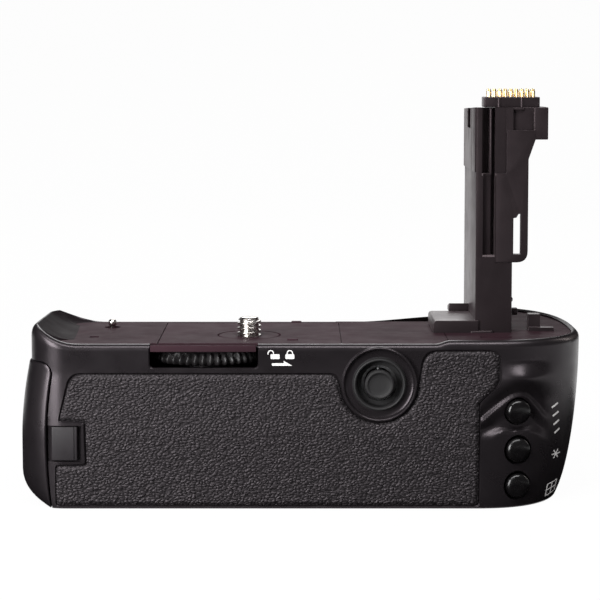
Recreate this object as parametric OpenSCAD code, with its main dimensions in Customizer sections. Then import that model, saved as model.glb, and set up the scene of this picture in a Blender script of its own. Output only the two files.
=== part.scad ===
// Battery grip for a camera, seen from its rear: +X right, +Y to the front, +Z up.
// The origin is the mouth of the tripod socket in the base. Millimetres.

/* [Housing] */
// Depth from the rear face to the front of the right end
body_d = 76; // [72:0.5:84]
// Depth of the deck under the camera body
deck_d = 48; // [45:0.5:52]
// Height of the deck above the base
deck_z = 42.3; // [42:0.1:48]
// Reach of the right end from the socket
right_x = 75; // [73:0.5:82]
// Reach of the upper left wall from the socket
left_x = 70; // [69:0.5:76]
// Thickness of the moulded shells
wall = 2; // [1.6:0.1:2.4]
// How far the lower right end slopes in
end_slope = 5; // [3:0.5:8]
// Extra reach of the rounding under the right end
foot_round = 2; // [1:0.5:6]
// How far the front bulges for the fingers
grip_bulge = 16; // [14:0.5:19]
// Height of the thumb rest above the rear face
thumb_h = 1.8; // [0.8:0.1:2.2]
// Height of the left rim above the deck
rim_h = 4.7; // [2:0.1:6]
// Height of the lip around the right end of the deck
lip_h = 1.3; // [0.6:0.1:2.4]
// Thickness of the deck plate
deck_t = 2.2; // [2.1:0.05:2.6]
// Thickness of the base plate
base_t = 2.2; // [1.8:0.1:3]

/* [Coverings] */
// Thickness of the rear leatherette
leather_t = 1; // [0.8:0.05:1.4]
// How far the leatherette stands above the rear face
leather_proud = 0.35; // [0.1:0.05:0.6]
// Thickness of the rubber on the front
rubber_t = 1; // [0.6:0.1:1.4]

/* [Battery tray] */
// Length of one battery bay
bay_l = 57.2; // [55:0.1:57.6]
// Depth of one battery bay
bay_d = 39; // [37:0.1:39.6]
// Height of one battery bay
bay_h = 21.8; // [20:0.1:22.2]
// Thickness of the tray's end and middle walls
tray_wall = 1.2; // [0.8:0.1:1.6]
// Thickness of the tray's long sides
tray_side = 1.9; // [1.2:0.1:2.1]
// Thickness of the tray floor
tray_floor = 1.8; // [1.2:0.1:2]
// Thickness of the chamber walls
chamber_wall = 1.2; // [0.8:0.1:1.4]
// Running gap between tray and chamber
tray_gap = 0.4; // [0.25:0.05:0.6]
// Reach of the tray end cap from the socket
cap_x = 73.4; // [72.8:0.1:76]
// Height of the tray end cap
cap_h = 37.8; // [36.5:0.1:38]
// Radius of the lock knob
lock_r = 8; // [6:0.25:9]

/* [Wheel and screw] */
// Radius of the thumbwheel
wheel_r = 16; // [15.5:0.1:16.2]
// Thickness of the thumbwheel
wheel_t = 3.2; // [2.6:0.1:3.4]
// Number of ribs around the thumbwheel
wheel_ribs = 47; // [36:1:54]
// Radius of the attachment screw, 1/4 inch thread
screw_r = 3.175; // [3:0.025:3.4]
// Height of the attachment screw above the deck
screw_h = 5.2; // [4:0.1:6.5]
// Teeth of the pinion on the wheel
pinion_teeth = 14; // [13:1:16]
// Teeth of the gear on the screw
gear_teeth = 28; // [26:1:30]
// Radius of the tripod socket's wall
socket_r = 2.6; // [2.4:0.05:3]
// Depth of the tripod socket
socket_l = 5.6; // [5:0.1:5.8]

/* [Controls] */
// Radius of the three push buttons
button_r = 3.25; // [2.8:0.05:3.5]
// Travel of the push buttons
button_travel = 0.8; // [0.4:0.1:0.8]
// Distance of the button column from the socket
button_x = 56.4; // [55:0.1:57.5]
// Outer radius of the controller bezel
bezel_r = 9.7; // [9:0.1:9.7]
// Radius of the controller knob
knob_r = 4; // [3.4:0.1:4.3]
// Radius of the shutter button
shutter_r = 5.4; // [4.6:0.1:5.8]
// Radius of the main dial
dial_r = 7; // [6:0.1:7.4]
// Thickness of the main dial
dial_t = 6.5; // [5:0.1:7.5]

/* [Stalk] */
// Width of the stalk's lower part
stalk_w = 9.8; // [8.5:0.1:10.5]
// Depth of the stalk
stalk_d = 36.9; // [34:0.1:38]
// Height of the stalk above the deck
stalk_h = 60.7; // [56:0.1:66]
// Height of the connector block
plug_h = 2.7; // [2:0.1:4]
// Length of the contact pins above their block
pin_h = 2.2; // [1.5:0.1:3]
// Radius of a contact pin
pin_r = 0.45; // [0.3:0.05:0.55]
// Radius of the locating pin
guide_r = 1.15; // [1:0.05:1.5]
// Height of the locating pin above the deck
guide_h = 2.7; // [2:0.1:4]

/* [Hidden] */
$fn = 64;
eps = 0.01;
fit_gap = 0.1;
run_gap = 0.05;
part_gap = 0.3;

// Least height of the housing above the end cap, and the deck's height with it
band_h = 4.5;
deck_top = max(deck_z, cap_h + band_h);

// Places of the housing
rear_y = -body_d / 2;
mid_y = rear_y + 29;
front_y = body_d / 2;
shallow_y = rear_y + deck_d;
end_start = 45;
bulge_z = 17;
bulge_half = deck_top - bulge_z;
foot_decay = 5;
slope_power = 2;
rear_power = 2.4;
front_power = 2.8;
left_round = 9;
base_edge = 1.2;
seam_x = -64.6;
seam_gap = 0.3;
levels = [0, 0.5, 1.2, 2.2, 3.6, 6, 9, 13, 17, 21, 25, 28, 30.5, 33, 35, 36.5, 38, deck_top];
ridge_x = 57;
ridge_w = 6;

function clamp01(t) = max(0, min(1, t));
function ease(a, b, t) = let (u = clamp01((t - a) / (b - a))) u * u * (3 - 2 * u);
function signed_pow(v, p) = sign(v) * pow(abs(v), p);

// Right end of the plan outline at height z
function right_end(z) =
  end_x - end_slope * pow(1 - min(z, deck_top) / deck_top, slope_power) - foot_round * exp(-z / foot_decay);
// Inset of the rounded edge along the base
function edge_in(z) = z >= base_edge ? 0 : base_edge - sqrt(pow(base_edge, 2) - pow(base_edge - z, 2));
// Swell of the thumb rest on the rear face
function thumb(x, z) =
  thumb_h * exp(-pow((x - ridge_x) / ridge_w, 2)) * (1 - ease(34.5, 38, z)) * ease(27, 34, z);
// Front face: shallow under the camera body, bulging for the fingers, deep at the right end
function finger_bulge(z) = grip_bulge * (1 - pow((min(z, deck_top) - bulge_z) / bulge_half, 4));
function front_face(x, z) =
  let (near = shallow_y + finger_bulge(z)) near + (front_y - near) * ease(14, end_start, x);
// Height of the shells' top edge
function top_edge(x, y) =
  deck_top + lip_h * ease(33, 38, x) + rim_h * ease(y > mid_y ? 53 : 57, left_x - 1, -x);

function corner(cx, cy, a, b, power, from, steps) = [
  for (k = [0 : steps])
    let (t = from + 90 * k / steps)
    [cx + a * signed_pow(cos(t), 2 / power), cy + b * signed_pow(sin(t), 2 / power)]
];

// Plan outline of the rear half at height z, set in by w, from the left end to the right end
function rear_line(z, w) =
  let (in = w + edge_in(z), l = in - left_x, r = left_round - w, reach = right_end(z) - in - end_start)
  concat(
    [[l, mid_y]],
    corner(l + r, rear_y + in + r, r, r, 2, 180, 5),
    [for (p = corner(end_start, mid_y, reach, mid_y - rear_y - in, rear_power, 270, 24))
      [p.x, p.y - thumb(p.x, z)]]
  );
// Plan outline of the front half, from the right end to the left end
front_steps = 16;
function front_line(z, w) =
  let (in = w + edge_in(z), l = in - left_x, r = left_round - w, reach = right_end(z) - in - end_start)
  let (x0 = end_start, x1 = l + r, y1 = front_face(l, z) - in)
  concat(
    corner(end_start, mid_y, reach, front_y - in - mid_y, front_power, 0, 14),
    [for (k = [1 : front_steps]) let (x = x0 + (x1 - x0) * k / front_steps) [x, front_face(x, z) - in]],
    [for (k = [1 : 5]) let (t = 90 + 18 * k) [x1 + r * cos(t), y1 - r + r * sin(t)]],
    [[l, mid_y]]
  );
function whole_line(z, w) =
  let (a = rear_line(z, w), b = front_line(z, w))
  concat(a, [for (k = [1 : len(b) - 2]) b[k]]);
// Rear surface at a place on the right end
function rear_surface(x, z) =
  let (u = clamp01((x - end_start) / (right_end(z) - end_start)))
  mid_y - (mid_y - rear_y) * pow(1 - pow(u, rear_power), 1 / rear_power);
// Point and outward angle on the right front corner, by its parameter angle
function front_spot(t, z) =
  let (a = right_end(z) - end_start, b = front_y - mid_y)
  [end_start + a * pow(cos(t), 2 / front_power), mid_y + b * pow(sin(t), 2 / front_power)];
function front_angle(t, z) =
  let (a = right_end(z) - end_start, b = front_y - mid_y, q = 2 - 2 / front_power)
  atan2(pow(sin(t), q) / b, pow(cos(t), q) / a);

// Closed thin sheet between an outer and an inner grid of points
module sheet(outer, inner) {
  m = len(outer);
  k = len(outer[0]);
  points = concat([for (row = outer) each row], [for (row = inner) each row]);
  function o(i, j) = i * k + j;
  function n(i, j) = (m + i) * k + j;
  sides = [
    for (i = [0 : m - 2]) for (j = [0 : k - 2]) each [
      [o(i, j), o(i, j + 1), o(i + 1, j + 1)], [o(i, j), o(i + 1, j + 1), o(i + 1, j)],
      [n(i, j), n(i + 1, j + 1), n(i, j + 1)], [n(i, j), n(i + 1, j), n(i + 1, j + 1)]
    ]
  ];
  ends = [
    for (j = [0 : k - 2]) each [
      [o(0, j + 1), o(0, j), n(0, j)], [o(0, j + 1), n(0, j), n(0, j + 1)],
      [o(m - 1, j), o(m - 1, j + 1), n(m - 1, j + 1)], [o(m - 1, j), n(m - 1, j + 1), n(m - 1, j)]
    ]
  ];
  rims = [
    for (i = [0 : m - 2]) each [
      [o(i, 0), o(i + 1, 0), n(i + 1, 0)], [o(i, 0), n(i + 1, 0), n(i, 0)],
      [o(i + 1, k - 1), o(i, k - 1), n(i, k - 1)], [o(i + 1, k - 1), n(i, k - 1), n(i + 1, k - 1)]
    ]
  ];
  polyhedron(points, concat(sides, ends, rims));
}

// Closed solid through rings of points, one ring per level, counter-clockwise from above
module stack(rings) {
  m = len(rings);
  k = len(rings[0]);
  points = concat([for (ring = rings) each ring], [mean(rings[0]), mean(rings[m - 1])]);
  function p(j, i) = j * k + i % k;
  sides = [
    for (j = [0 : m - 2]) for (i = [0 : k - 1]) each [
      [p(j, i), p(j + 1, i), p(j + 1, i + 1)], [p(j, i), p(j + 1, i + 1), p(j, i + 1)]
    ]
  ];
  caps = [
    for (i = [0 : k - 1]) each [
      [p(0, i), p(0, i + 1), m * k], [p(m - 1, i + 1), p(m - 1, i), m * k + 1]
    ]
  ];
  polyhedron(points, concat(sides, caps));
}
function mean(ring) = [for (c = [0 : 2]) [for (q = ring) q[c]] * [for (q = ring) 1] / len(ring)];

// Wall grid of one half of the housing
function half_grid(lines) = [
  for (i = [0 : len(lines[0]) - 1]) [
    for (j = [0 : len(levels) - 1])
      let (q = lines[j][i]) [q.x, q.y, j == len(levels) - 1 ? top_edge(q.x, q.y) : levels[j]]
  ]
];
function rear_grid(w) = half_grid([for (z = levels) rear_line(z, w)]);
function front_grid(w) = half_grid([for (z = levels) front_line(z, w)]);

// Box between two corners
module box(a, b) {
  translate(a) cube(b - a);
}
// Cylinder along +Y from y0 to y1
module rod_y(x, z, r, y0, y1) {
  translate([x, y0, z]) rotate([-90, 0, 0]) cylinder(r = r, h = y1 - y0);
}
// Cylinder along +X from x0 to x1
module rod_x(y, z, r, x0, x1) {
  translate([x0, y, z]) rotate([0, 90, 0]) cylinder(r = r, h = x1 - x0);
}

// Battery tray, centred on its own bays
tray_l = 2 * bay_l + 3 * tray_wall;
tray_x0 = seam_x + 0.4;
tray_x1 = tray_x0 + tray_l;
tray_mid_y = -5;
tray_half_d = bay_d / 2 + tray_side;
tray_z0 = 8.4;
tray_h = tray_floor + bay_h;
tray_z1 = tray_z0 + tray_h;
chamber_x0 = seam_x + 0.8;
chamber_x1 = tray_x1 + 0.8 + chamber_wall;
chamber_half_d = tray_half_d + tray_gap + chamber_wall;
chamber_y0 = tray_mid_y - chamber_half_d;
chamber_y1 = tray_mid_y + chamber_half_d;
chamber_z0 = tray_z0 - tray_gap - chamber_wall;
chamber_z1 = tray_z1 + tray_gap + chamber_wall;
// Least room for the controls beyond the chamber, and the right end with it
end_room = 19.2;
end_x = max(right_x, chamber_x1 + end_room);
lock_y = tray_mid_y;
lock_z = 20;

// Wheel, gears and screw
wheel_x = -24.5;
wheel_y = rear_y + wheel_r;
wheel_z = deck_top - 5.3;
axle_r = 1.5;
hub_r = 3;
screw_x = -13.5;
screw_y = rear_y + 19.4;
mesh_dx = screw_x - wheel_x;
mesh_dy = screw_y - wheel_y;
mesh_angle = atan2(mesh_dy, mesh_dx);
tooth_module = 2 * norm([mesh_dx, mesh_dy]) / (pinion_teeth + gear_teeth);
carrier_z = wheel_z + wheel_t + 0.15;
carrier_t = 0.4;
gear_z = carrier_z + carrier_t + 0.1;
gear_t = 0.75;
disc_z = gear_z + gear_t + 0.1;
journal_r = 2;
disc_r = 8.1;
bush_r = 6;

// Deck pieces
guide_x = -51.3;
guide_y = rear_y + 35;
stalk_x0 = 46.9;
stalk_x1 = stalk_x0 + stalk_w;
stalk_y0 = rear_y + 23.6;
stalk_y1 = stalk_y0 + stalk_d;
stalk_z1 = deck_top + stalk_h;
cover_t = 3;
cover_x0 = stalk_x0 + 7.1;
cover_x1 = stalk_x0 + 14;
lug_x1 = stalk_x0 + 19.1;
plug_x0 = stalk_x0 + 3.3;
plug_x1 = stalk_x0 + 18.4;
plug_y0 = stalk_y0 + 1.5;
plug_y1 = plug_y0 + 8;
foot_h = 3.7;

// Buttons and controller
button_z = [25.1, 15.1, 5.7];
button_tilt = 14;
board_t = 1;
board_y = chamber_y0 - 2;
knob_x = 20.4;
knob_z = deck_top - bezel_r - 0.1;
gimbal_y = chamber_y0 - 3.4;
shutter_t = 45;
shutter_z = 22;
function_t = 64;
function_z = 29;
power_t = 60;
power_z = 12;
dial_x = chamber_x1 + 9.5;
dial_y = chamber_y1 - 12;
dial_z = 22;

// Frame at a spot on the right front corner, +X outward
module at_front(t, z) {
  spot = front_spot(t, z);
  translate([spot.x, spot.y, z]) rotate([0, 0, front_angle(t, z)]) children();
}
// Frame at a push button, -Y outward
module at_button(z) {
  translate([button_x, rear_surface(button_x, z), z]) rotate([0, 0, button_tilt]) children();
}

// Outline of the rear leatherette in X and Z
leather_points = [
  [-62, 1.6], [45.9, 1.6], [45.9, 27], [50.6, 35.5], [49.5, 40.6], [34.2, 40.6], [32.2, 33.5],
  [29.6, 26], [24.5, 21.9], [16.3, 21.9], [11.2, 26], [8.6, 34.8], [-58.8, 34.8], [-62, 23],
  [-55.2, 22.6], [-54.6, 11.3], [-62, 11]
];
module leather_outline(grow) {
  offset(delta = grow) offset(r = 1.5) offset(delta = -1.5) polygon(leather_points);
}
module along_rear(y0, y1) {
  translate([0, y1, 0]) rotate([90, 0, 0]) linear_extrude(y1 - y0) children();
}

module rear_shell() {
  color("#262225") difference() {
    sheet(rear_grid(0), rear_grid(wall));
    // Mouth of the battery tray
    box([-left_x - 2, rear_y - 3, -1], [seam_x, mid_y + 1, cap_h + seam_gap]);
    // Seat of the leatherette
    along_rear(rear_y - 4, rear_y + leather_t - leather_proud) leather_outline(fit_gap);
    // Slot of the thumbwheel
    box([wheel_x - 14.2, rear_y - 1, wheel_z - 0.5], [wheel_x + 13.7, rear_y + 3, carrier_z + 0.9]);
    // Hole of the controller
    rod_y(knob_x, knob_z, bezel_r - 1.1, rear_y - 1, rear_y + 4);
    // Wells of the buttons
    for (z = button_z) at_button(z) rod_y(0, 0, button_r + 0.35, -4, 8);
    // Seat and hole of the cord cover
    box([seam_x - 1, rear_y - 1, cover_z0 - 0.3], [flap_x1 + 0.3, rear_y + flap_t + 0.2, cover_z1 + 0.3]);
    box([flap_x0 + 2.4, rear_y - 1, cover_z0 + 2], [flap_x1 - 1.6, rear_y + 3, cover_z1 - 2]);
  }
}

module front_shell() {
  color("#232022") difference() {
    sheet(front_grid(0), front_grid(wall));
    box([-left_x - 2, mid_y - 1, -1], [seam_x, front_y, cap_h + seam_gap]);
    at_front(shutter_t, shutter_z) rod_x(0, 0, shutter_r + 2.2, -9, 5);
    at_front(function_t, function_z) rod_x(0, 0, function_r + part_gap, -9, 5);
    at_front(power_t, power_z) box([-9, -1.5, -4.5], [5, 1.5, 4.5]);
    box([dial_x, dial_y - 0.5, dial_z - dial_r - 0.6], [end_x, dial_y + dial_t + 0.5, dial_z + dial_r + 0.6]);
  }
}

module deck_plate() {
  color("#3a3337") difference() {
    translate([0, 0, deck_top - deck_t]) linear_extrude(deck_t) polygon(whole_line(deck_top, wall + fit_gap));
    // Pockets for the wheel, its carrier plate and the gears
    translate([wheel_x, wheel_y, 0]) cylinder(r = wheel_r + 0.6, h = carrier_z);
    translate([0, 0, -1]) linear_extrude(carrier_z + carrier_t + 1) carrier_outline(fit_gap);
    translate([wheel_x, wheel_y, 0]) cylinder(r = tip_r(pinion_teeth) + 0.4, h = disc_z - 0.05);
    translate([screw_x, screw_y, 0]) cylinder(r = tip_r(gear_teeth) + 0.4, h = disc_z - 0.05);
    translate([screw_x, screw_y, 0]) cylinder(r = disc_r + fit_gap, h = deck_top + 1);
    translate([guide_x, guide_y, 0]) cylinder(r = guide_r + 0.02, h = deck_top + 1);
    translate([guide_x, guide_y, deck_top - 0.5]) cylinder(r = guide_r + 0.9, h = 2);
    // Way of the stalk board and holes of the stalk screws
    box([flex_x - 0.8, flex_y0 - 0.5, 0], [flex_x + flex_t + 0.8, flex_y1 + 0.5, deck_top + 1]);
    for (y = stalk_screw_y) translate([stalk_screw_x, y, 0]) cylinder(r = 1.2, h = deck_top + 1);
    for (x = carrier_screw_x)
      translate([x, screw_y, deck_top - deck_t - 1]) cylinder(r = 0.8, h = deck_t + 0.4);
  }
}

base_post = [[-48, -14], [-48, 6], [44, -20], [44, 10]];
module base_plate() {
  color("#232022") difference() {
    union() {
      intersection() {
        linear_extrude(base_t) polygon(whole_line(0, wall + fit_gap));
        box([seam_x + part_gap, rear_y, 0], [end_x, front_y, base_t]);
      }
      // Posts that carry the battery chamber
      for (p = base_post) translate([p.x, p.y, base_t - eps]) cylinder(r = 3, h = chamber_z0 - base_t);
    }
    translate([0, 0, -1]) cylinder(r = bush_r + 0.02, h = 20);
    for (p = base_post) translate([p.x, p.y, -1]) cylinder(r = 1.02, h = 20);
    for (p = base_post) translate([p.x, p.y, -1]) cylinder(r = 2.3, h = 2.4);
  }
}

module base_screws() {
  color("#8a8a90") for (p = base_post) translate([p.x, p.y, 0]) difference() {
    union() {
      translate([0, 0, 0.2]) cylinder(r = 2.1, h = 1.2 - fit_gap);
      translate([0, 0, 0.2]) cylinder(r = 1, h = chamber_z0 - 0.2);
    }
    for (a = [0, 90]) rotate([0, 0, a]) box([-1.3, -0.3, 0], [1.3, 0.3, 0.7]);
  }
}

module tripod_bush() {
  color("#b9b4a8") difference() {
    union() {
      cylinder(r = bush_r, h = chamber_z0 - 0.1);
      translate([0, 0, base_t + 0.05]) cylinder(r = bush_r + 2, h = 1.5);
    }
    translate([0, 0, -1]) cylinder(r = socket_r, h = socket_l + 1);
  }
}

module rear_leatherette() {
  color("#1d1b1c") along_rear(rear_y - leather_proud, rear_y + leather_t - leather_proud) leather_outline(0);
}

// Rubber over the finger bulge, on the same stations as the shell under it
rubber_from = 2;
rubber_x = [
  for (k = [rubber_from : front_steps - 1]) end_start + (left_round - left_x - end_start) * k / front_steps
];
rubber_seat = 0.05;
rubber_z = [for (z = levels) if (z > 3 && z < 34) z];
function rubber_grid(lift) = [
  for (x = rubber_x) [for (z = rubber_z) [x, front_face(x, z) + lift, z]]
];
module front_grip_rubber() {
  color("#1b191a") sheet(rubber_grid(rubber_seat + rubber_t), rubber_grid(rubber_seat));
}

module battery_chamber() {
  color("#2c2a2c") difference() {
    union() {
      box([chamber_x0, chamber_y0, chamber_z0], [chamber_x1, chamber_y1, chamber_z1]);
      // Posts of the main board
      for (x = [2, 42]) for (y = [-24, 6])
        translate([x, y, chamber_z1 - eps]) cylinder(r = 2, h = main_z - chamber_z1);
    }
    box(
      [chamber_x0 - 1, chamber_y0 + chamber_wall, chamber_z0 + chamber_wall],
      [chamber_x1 - chamber_wall, chamber_y1 - chamber_wall, chamber_z1 - chamber_wall]
    );
    for (p = base_post) translate([p.x, p.y, chamber_z0 - 1]) cylinder(r = 1.02, h = 3);
  }
}

module chamber_contacts() {
  color("#c9a24a") for (y = contact_y)
    box([chamber_x1 - chamber_wall - 0.5, y - 1, 14], [chamber_x1 - chamber_wall, y + 1, 24]);
}
contact_y = [-17, -9, -1, 7];

main_z = chamber_z1 + 2;
module main_board() {
  color("#1f4a33") union() {
    box([-1, -27, main_z], [54, 9, main_z + board_t]);
    box([12, -8, main_z + board_t - eps], [22, 2, main_z + board_t + 1.4]);
    box([28, -22, main_z + board_t - eps], [34, -14, main_z + board_t + 1.2]);
  }
}

// Toothed outline with involute flanks, thinned for running play
pressure = 22;
addendum = 0.75;
dedendum = 1;
function pitch_r(n) = tooth_module * n / 2;
function tip_r(n) = pitch_r(n) + addendum * tooth_module;
function root_r(n) = pitch_r(n) - dedendum * tooth_module;
function involute_angle(base, r) = let (t = sqrt(max(0, pow(r / base, 2) - 1))) t * 180 / PI - atan(t);
module gear_outline(n) {
  base = pitch_r(n) * cos(pressure);
  low = max(base, root_r(n));
  half = 360 / n * 0.21;
  swing = involute_angle(base, pitch_r(n));
  radii = [for (k = [0 : 4]) low + (tip_r(n) - low) * k / 4];
  function flank(side) = [for (r = radii) [r, side * (half + swing - involute_angle(base, r))]];
  tooth = concat(
    [[root_r(n), -(half + swing)]], flank(-1),
    [for (k = [4 : -1 : 0]) flank(1)[k]], [[root_r(n), half + swing]]
  );
  polygon([for (k = [0 : n - 1]) for (q = tooth) q[0] * [cos(q[1] + 360 * k / n), sin(q[1] + 360 * k / n)]]);
}

module wheel_outline() {
  steps = 6;
  count = wheel_ribs * steps;
  rib = 0.55;
  polygon([
    for (k = [0 : count - 1])
      let (a = 360 * k / count, r = wheel_r - rib * pow(abs(sin(wheel_ribs * a / 2)), 2.5))
        r * [cos(a), sin(a)]
  ]);
}
module thumbwheel() {
  color("#161415") translate([wheel_x, wheel_y, 0]) difference() {
    union() {
      translate([0, 0, wheel_z]) linear_extrude(wheel_t) wheel_outline();
      translate([0, 0, wheel_z]) cylinder(r = hub_r, h = gear_z - wheel_z);
    }
    translate([0, 0, wheel_z - 1]) cylinder(r = axle_r + run_gap, h = 20);
  }
}
module wheel_pinion() {
  color("#c8c2b4") translate([wheel_x, wheel_y, gear_z]) difference() {
    linear_extrude(gear_t) rotate([0, 0, mesh_angle]) gear_outline(pinion_teeth);
    translate([0, 0, -1]) cylinder(r = axle_r + run_gap, h = 5);
  }
}
module wheel_axle() {
  color("#a8a8ac") translate([wheel_x, wheel_y, chamber_z1 + 0.5])
    cylinder(r = axle_r, h = gear_z + gear_t - chamber_z1 - 0.5);
}
module wheel_bracket() {
  color("#2c2a2c") difference() {
    union() {
      box([wheel_x - 11, chamber_y0 - 3, chamber_z1], [wheel_x + 13, chamber_y0 + 22, chamber_z1 + 1.4]);
      translate([wheel_x, wheel_y, chamber_z1]) cylinder(r = 5, h = wheel_z - chamber_z1 - 0.05);
    }
    translate([wheel_x, wheel_y, chamber_z1 + 0.5]) cylinder(r = axle_r + 0.005, h = 20);
  }
}

carrier_screw_x = [wheel_x - 20, screw_x + 11.5];
module carrier_outline(grow) {
  translate([carrier_screw_x[0] - 3 - grow, screw_y - 7 - grow])
    square([carrier_screw_x[1] - carrier_screw_x[0] + 6 + 2 * grow, 14 + 2 * grow]);
}
module screw_carrier() {
  color("#9c9ca0") translate([0, 0, carrier_z]) difference() {
    linear_extrude(carrier_t) carrier_outline(0);
    translate([wheel_x, wheel_y, -1]) cylinder(r = hub_r + 0.4, h = 5);
    translate([screw_x, screw_y, -1]) cylinder(r = journal_r + run_gap, h = 5);
    for (x = carrier_screw_x) translate([x, screw_y, -1]) cylinder(r = 0.82, h = 5);
  }
}
module carrier_screws() {
  color("#8a8a90") for (x = carrier_screw_x) translate([x, screw_y, 0]) {
    translate([0, 0, carrier_z - 1]) cylinder(r = 1.5, h = 1);
    translate([0, 0, carrier_z - eps]) cylinder(r = 0.78, h = carrier_t + 0.6);
  }
}

module attachment_screw() {
  color("#c4c4c8") translate([screw_x, screw_y, 0]) union() {
    translate([0, 0, carrier_z]) cylinder(r = journal_r, h = gear_z - carrier_z + eps);
    translate([0, 0, gear_z]) cylinder(r = screw_r, h = deck_top + screw_h - gear_z);
    translate([0, 0, disc_z]) cylinder(r = disc_r, h = deck_top - disc_z);
  }
}
module screw_gear() {
  color("#c8c2b4") translate([screw_x, screw_y, gear_z]) difference() {
    linear_extrude(gear_t) rotate([0, 0, mesh_angle + 180 + 180 / gear_teeth]) gear_outline(gear_teeth);
    translate([0, 0, -1]) cylinder(r = screw_r + 0.005, h = 5);
  }
}

module locating_pin() {
  color("#c4c4c8") translate([guide_x, guide_y, 0]) union() {
    translate([0, 0, deck_top - deck_t]) cylinder(r = guide_r, h = deck_t + guide_h - guide_r);
    translate([0, 0, deck_top + guide_h - guide_r]) sphere(r = guide_r);
    translate([0, 0, deck_top - deck_t - 1]) cylinder(r = guide_r + 1, h = 1);
  }
}

// Stalk that takes the place of the battery in the camera
flex_t = 1;
flex_x = stalk_x0 + 5.3;
flex_y0 = stalk_y0 + 13;
flex_y1 = stalk_y0 + 28;
stalk_screw_x = stalk_x0 + 4.9;
stalk_screw_y = [stalk_y0 + 7, stalk_y0 + 33];
module stalk_body() {
  color("#221f21") difference() {
    union() {
      box([stalk_x0, stalk_y0, deck_top], [stalk_x1, stalk_y1, stalk_z1]);
      // Top block under the connector
      box([stalk_x0, stalk_y0 + cover_t, stalk_z1 - 8.6], [lug_x1, stalk_y0 + 14, stalk_z1]);
    }
    // Channel in the rear face and step above it
    box([stalk_x0 + 1.9, stalk_y0 - 1, deck_top + 21.2], [stalk_x0 + 5.4, stalk_y0 + 2.4, stalk_z1 + 1]);
    // Seat of the cover
    box([cover_x0 - fit_gap, stalk_y0 - 1, deck_top + 19], [lug_x1 + 1, stalk_y0 + cover_t, stalk_z1 + 1]);
    // Grooves on the upper left side
    for (k = [0 : 3])
      let (y = stalk_y0 + 3 + 7 * k)
      box([stalk_x0 - 1, y, stalk_z1 - 17], [stalk_x0 + 0.8, y + 3, stalk_z1 + 1]);
    // Hollow for the stalk board
    box([flex_x - 0.6, flex_y0 - 0.6, deck_top - 1], [flex_x + flex_t + 0.6, flex_y1 + 0.6, stalk_z1 - 4]);
    for (y = stalk_screw_y) translate([stalk_screw_x, y, deck_top - 1]) cylinder(r = 1.02, h = 9);
  }
}
module stalk_cover() {
  color("#262325") along_rear(stalk_y0, stalk_y0 + cover_t) difference() {
    polygon([
      [cover_x0, deck_top + 19.1], [cover_x1 - 2.5, deck_top + 19.1], [cover_x1 - 0.7, deck_top + 19.8],
      [cover_x1, deck_top + 21.6], [cover_x1, deck_top + 46.4], [cover_x1 + 1.6, deck_top + 52.1],
      [lug_x1, deck_top + 52.1], [lug_x1, stalk_z1], [cover_x0, stalk_z1]
    ]);
    translate([stalk_x1 + 0.3, deck_top + 21.3]) square([2.1, 10.9]);
  }
}
module stalk_board() {
  color("#1f4a33") box([flex_x, flex_y0, main_z + board_t], [flex_x + flex_t, flex_y1, stalk_z1 - 4.2]);
}
module stalk_foot() {
  color("#2c282a") hull() {
    for (x = [stalk_x0 - 10, stalk_x0 - 2.1]) for (y = [stalk_y0 + 2, stalk_y0 + 18])
      translate([x, y, deck_top]) {
        cylinder(r = 2, h = foot_h - 1, $fn = 32);
        cylinder(r = 1.2, h = foot_h, $fn = 32);
      }
  }
}
module stalk_clip() {
  color("#161415")
    box([stalk_x0 - 5, stalk_y0 + 20.4, deck_top], [stalk_x0 - 0.05, stalk_y0 + 26, deck_top + 5]);
}
module stalk_screws() {
  color("#8a8a90") for (y = stalk_screw_y) translate([stalk_screw_x, y, 0]) {
    translate([0, 0, deck_top - deck_t - 1.3]) cylinder(r = 2, h = 1.3);
    translate([0, 0, deck_top - deck_t - eps]) cylinder(r = 1, h = deck_t + 6);
  }
}
module connector_block() {
  color("#1c1a1b") union() {
    box([plug_x0, plug_y0, stalk_z1], [plug_x1, plug_y1, stalk_z1 + plug_h]);
    box([plug_x0 + 5.5, plug_y0 - 0.8, stalk_z1], [plug_x0 + 8.5, plug_y0 + 1, stalk_z1 + 0.8]);
  }
}
pin_count = 9;
module contact_pins() {
  pitch = (plug_x1 - plug_x0 - 1.6) / pin_count;
  color("#d8a941") for (k = [0 : pin_count - 1]) for (y = [plug_y0 + 2, plug_y1 - 2])
    translate([plug_x0 + 0.8 + pitch * (k + 0.5), y, stalk_z1 + plug_h]) union() {
      cylinder(r = pin_r, h = pin_h - 0.5);
      cylinder(r = pin_r * 0.7, h = pin_h);
    }
}

post_x = 63.3;
post_y = rear_y + 30;
module door_post() {
  color("#1c1a1b") union() {
    box([post_x - 1.6, post_y - 1.6, deck_top], [post_x + 1.6, post_y + 1.6, deck_top + 4.8]);
    box([post_x - 1.6, post_y - 3.2, deck_top], [post_x + 5.1, post_y - 1.5, deck_top + 1.4]);
  }
}

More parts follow.
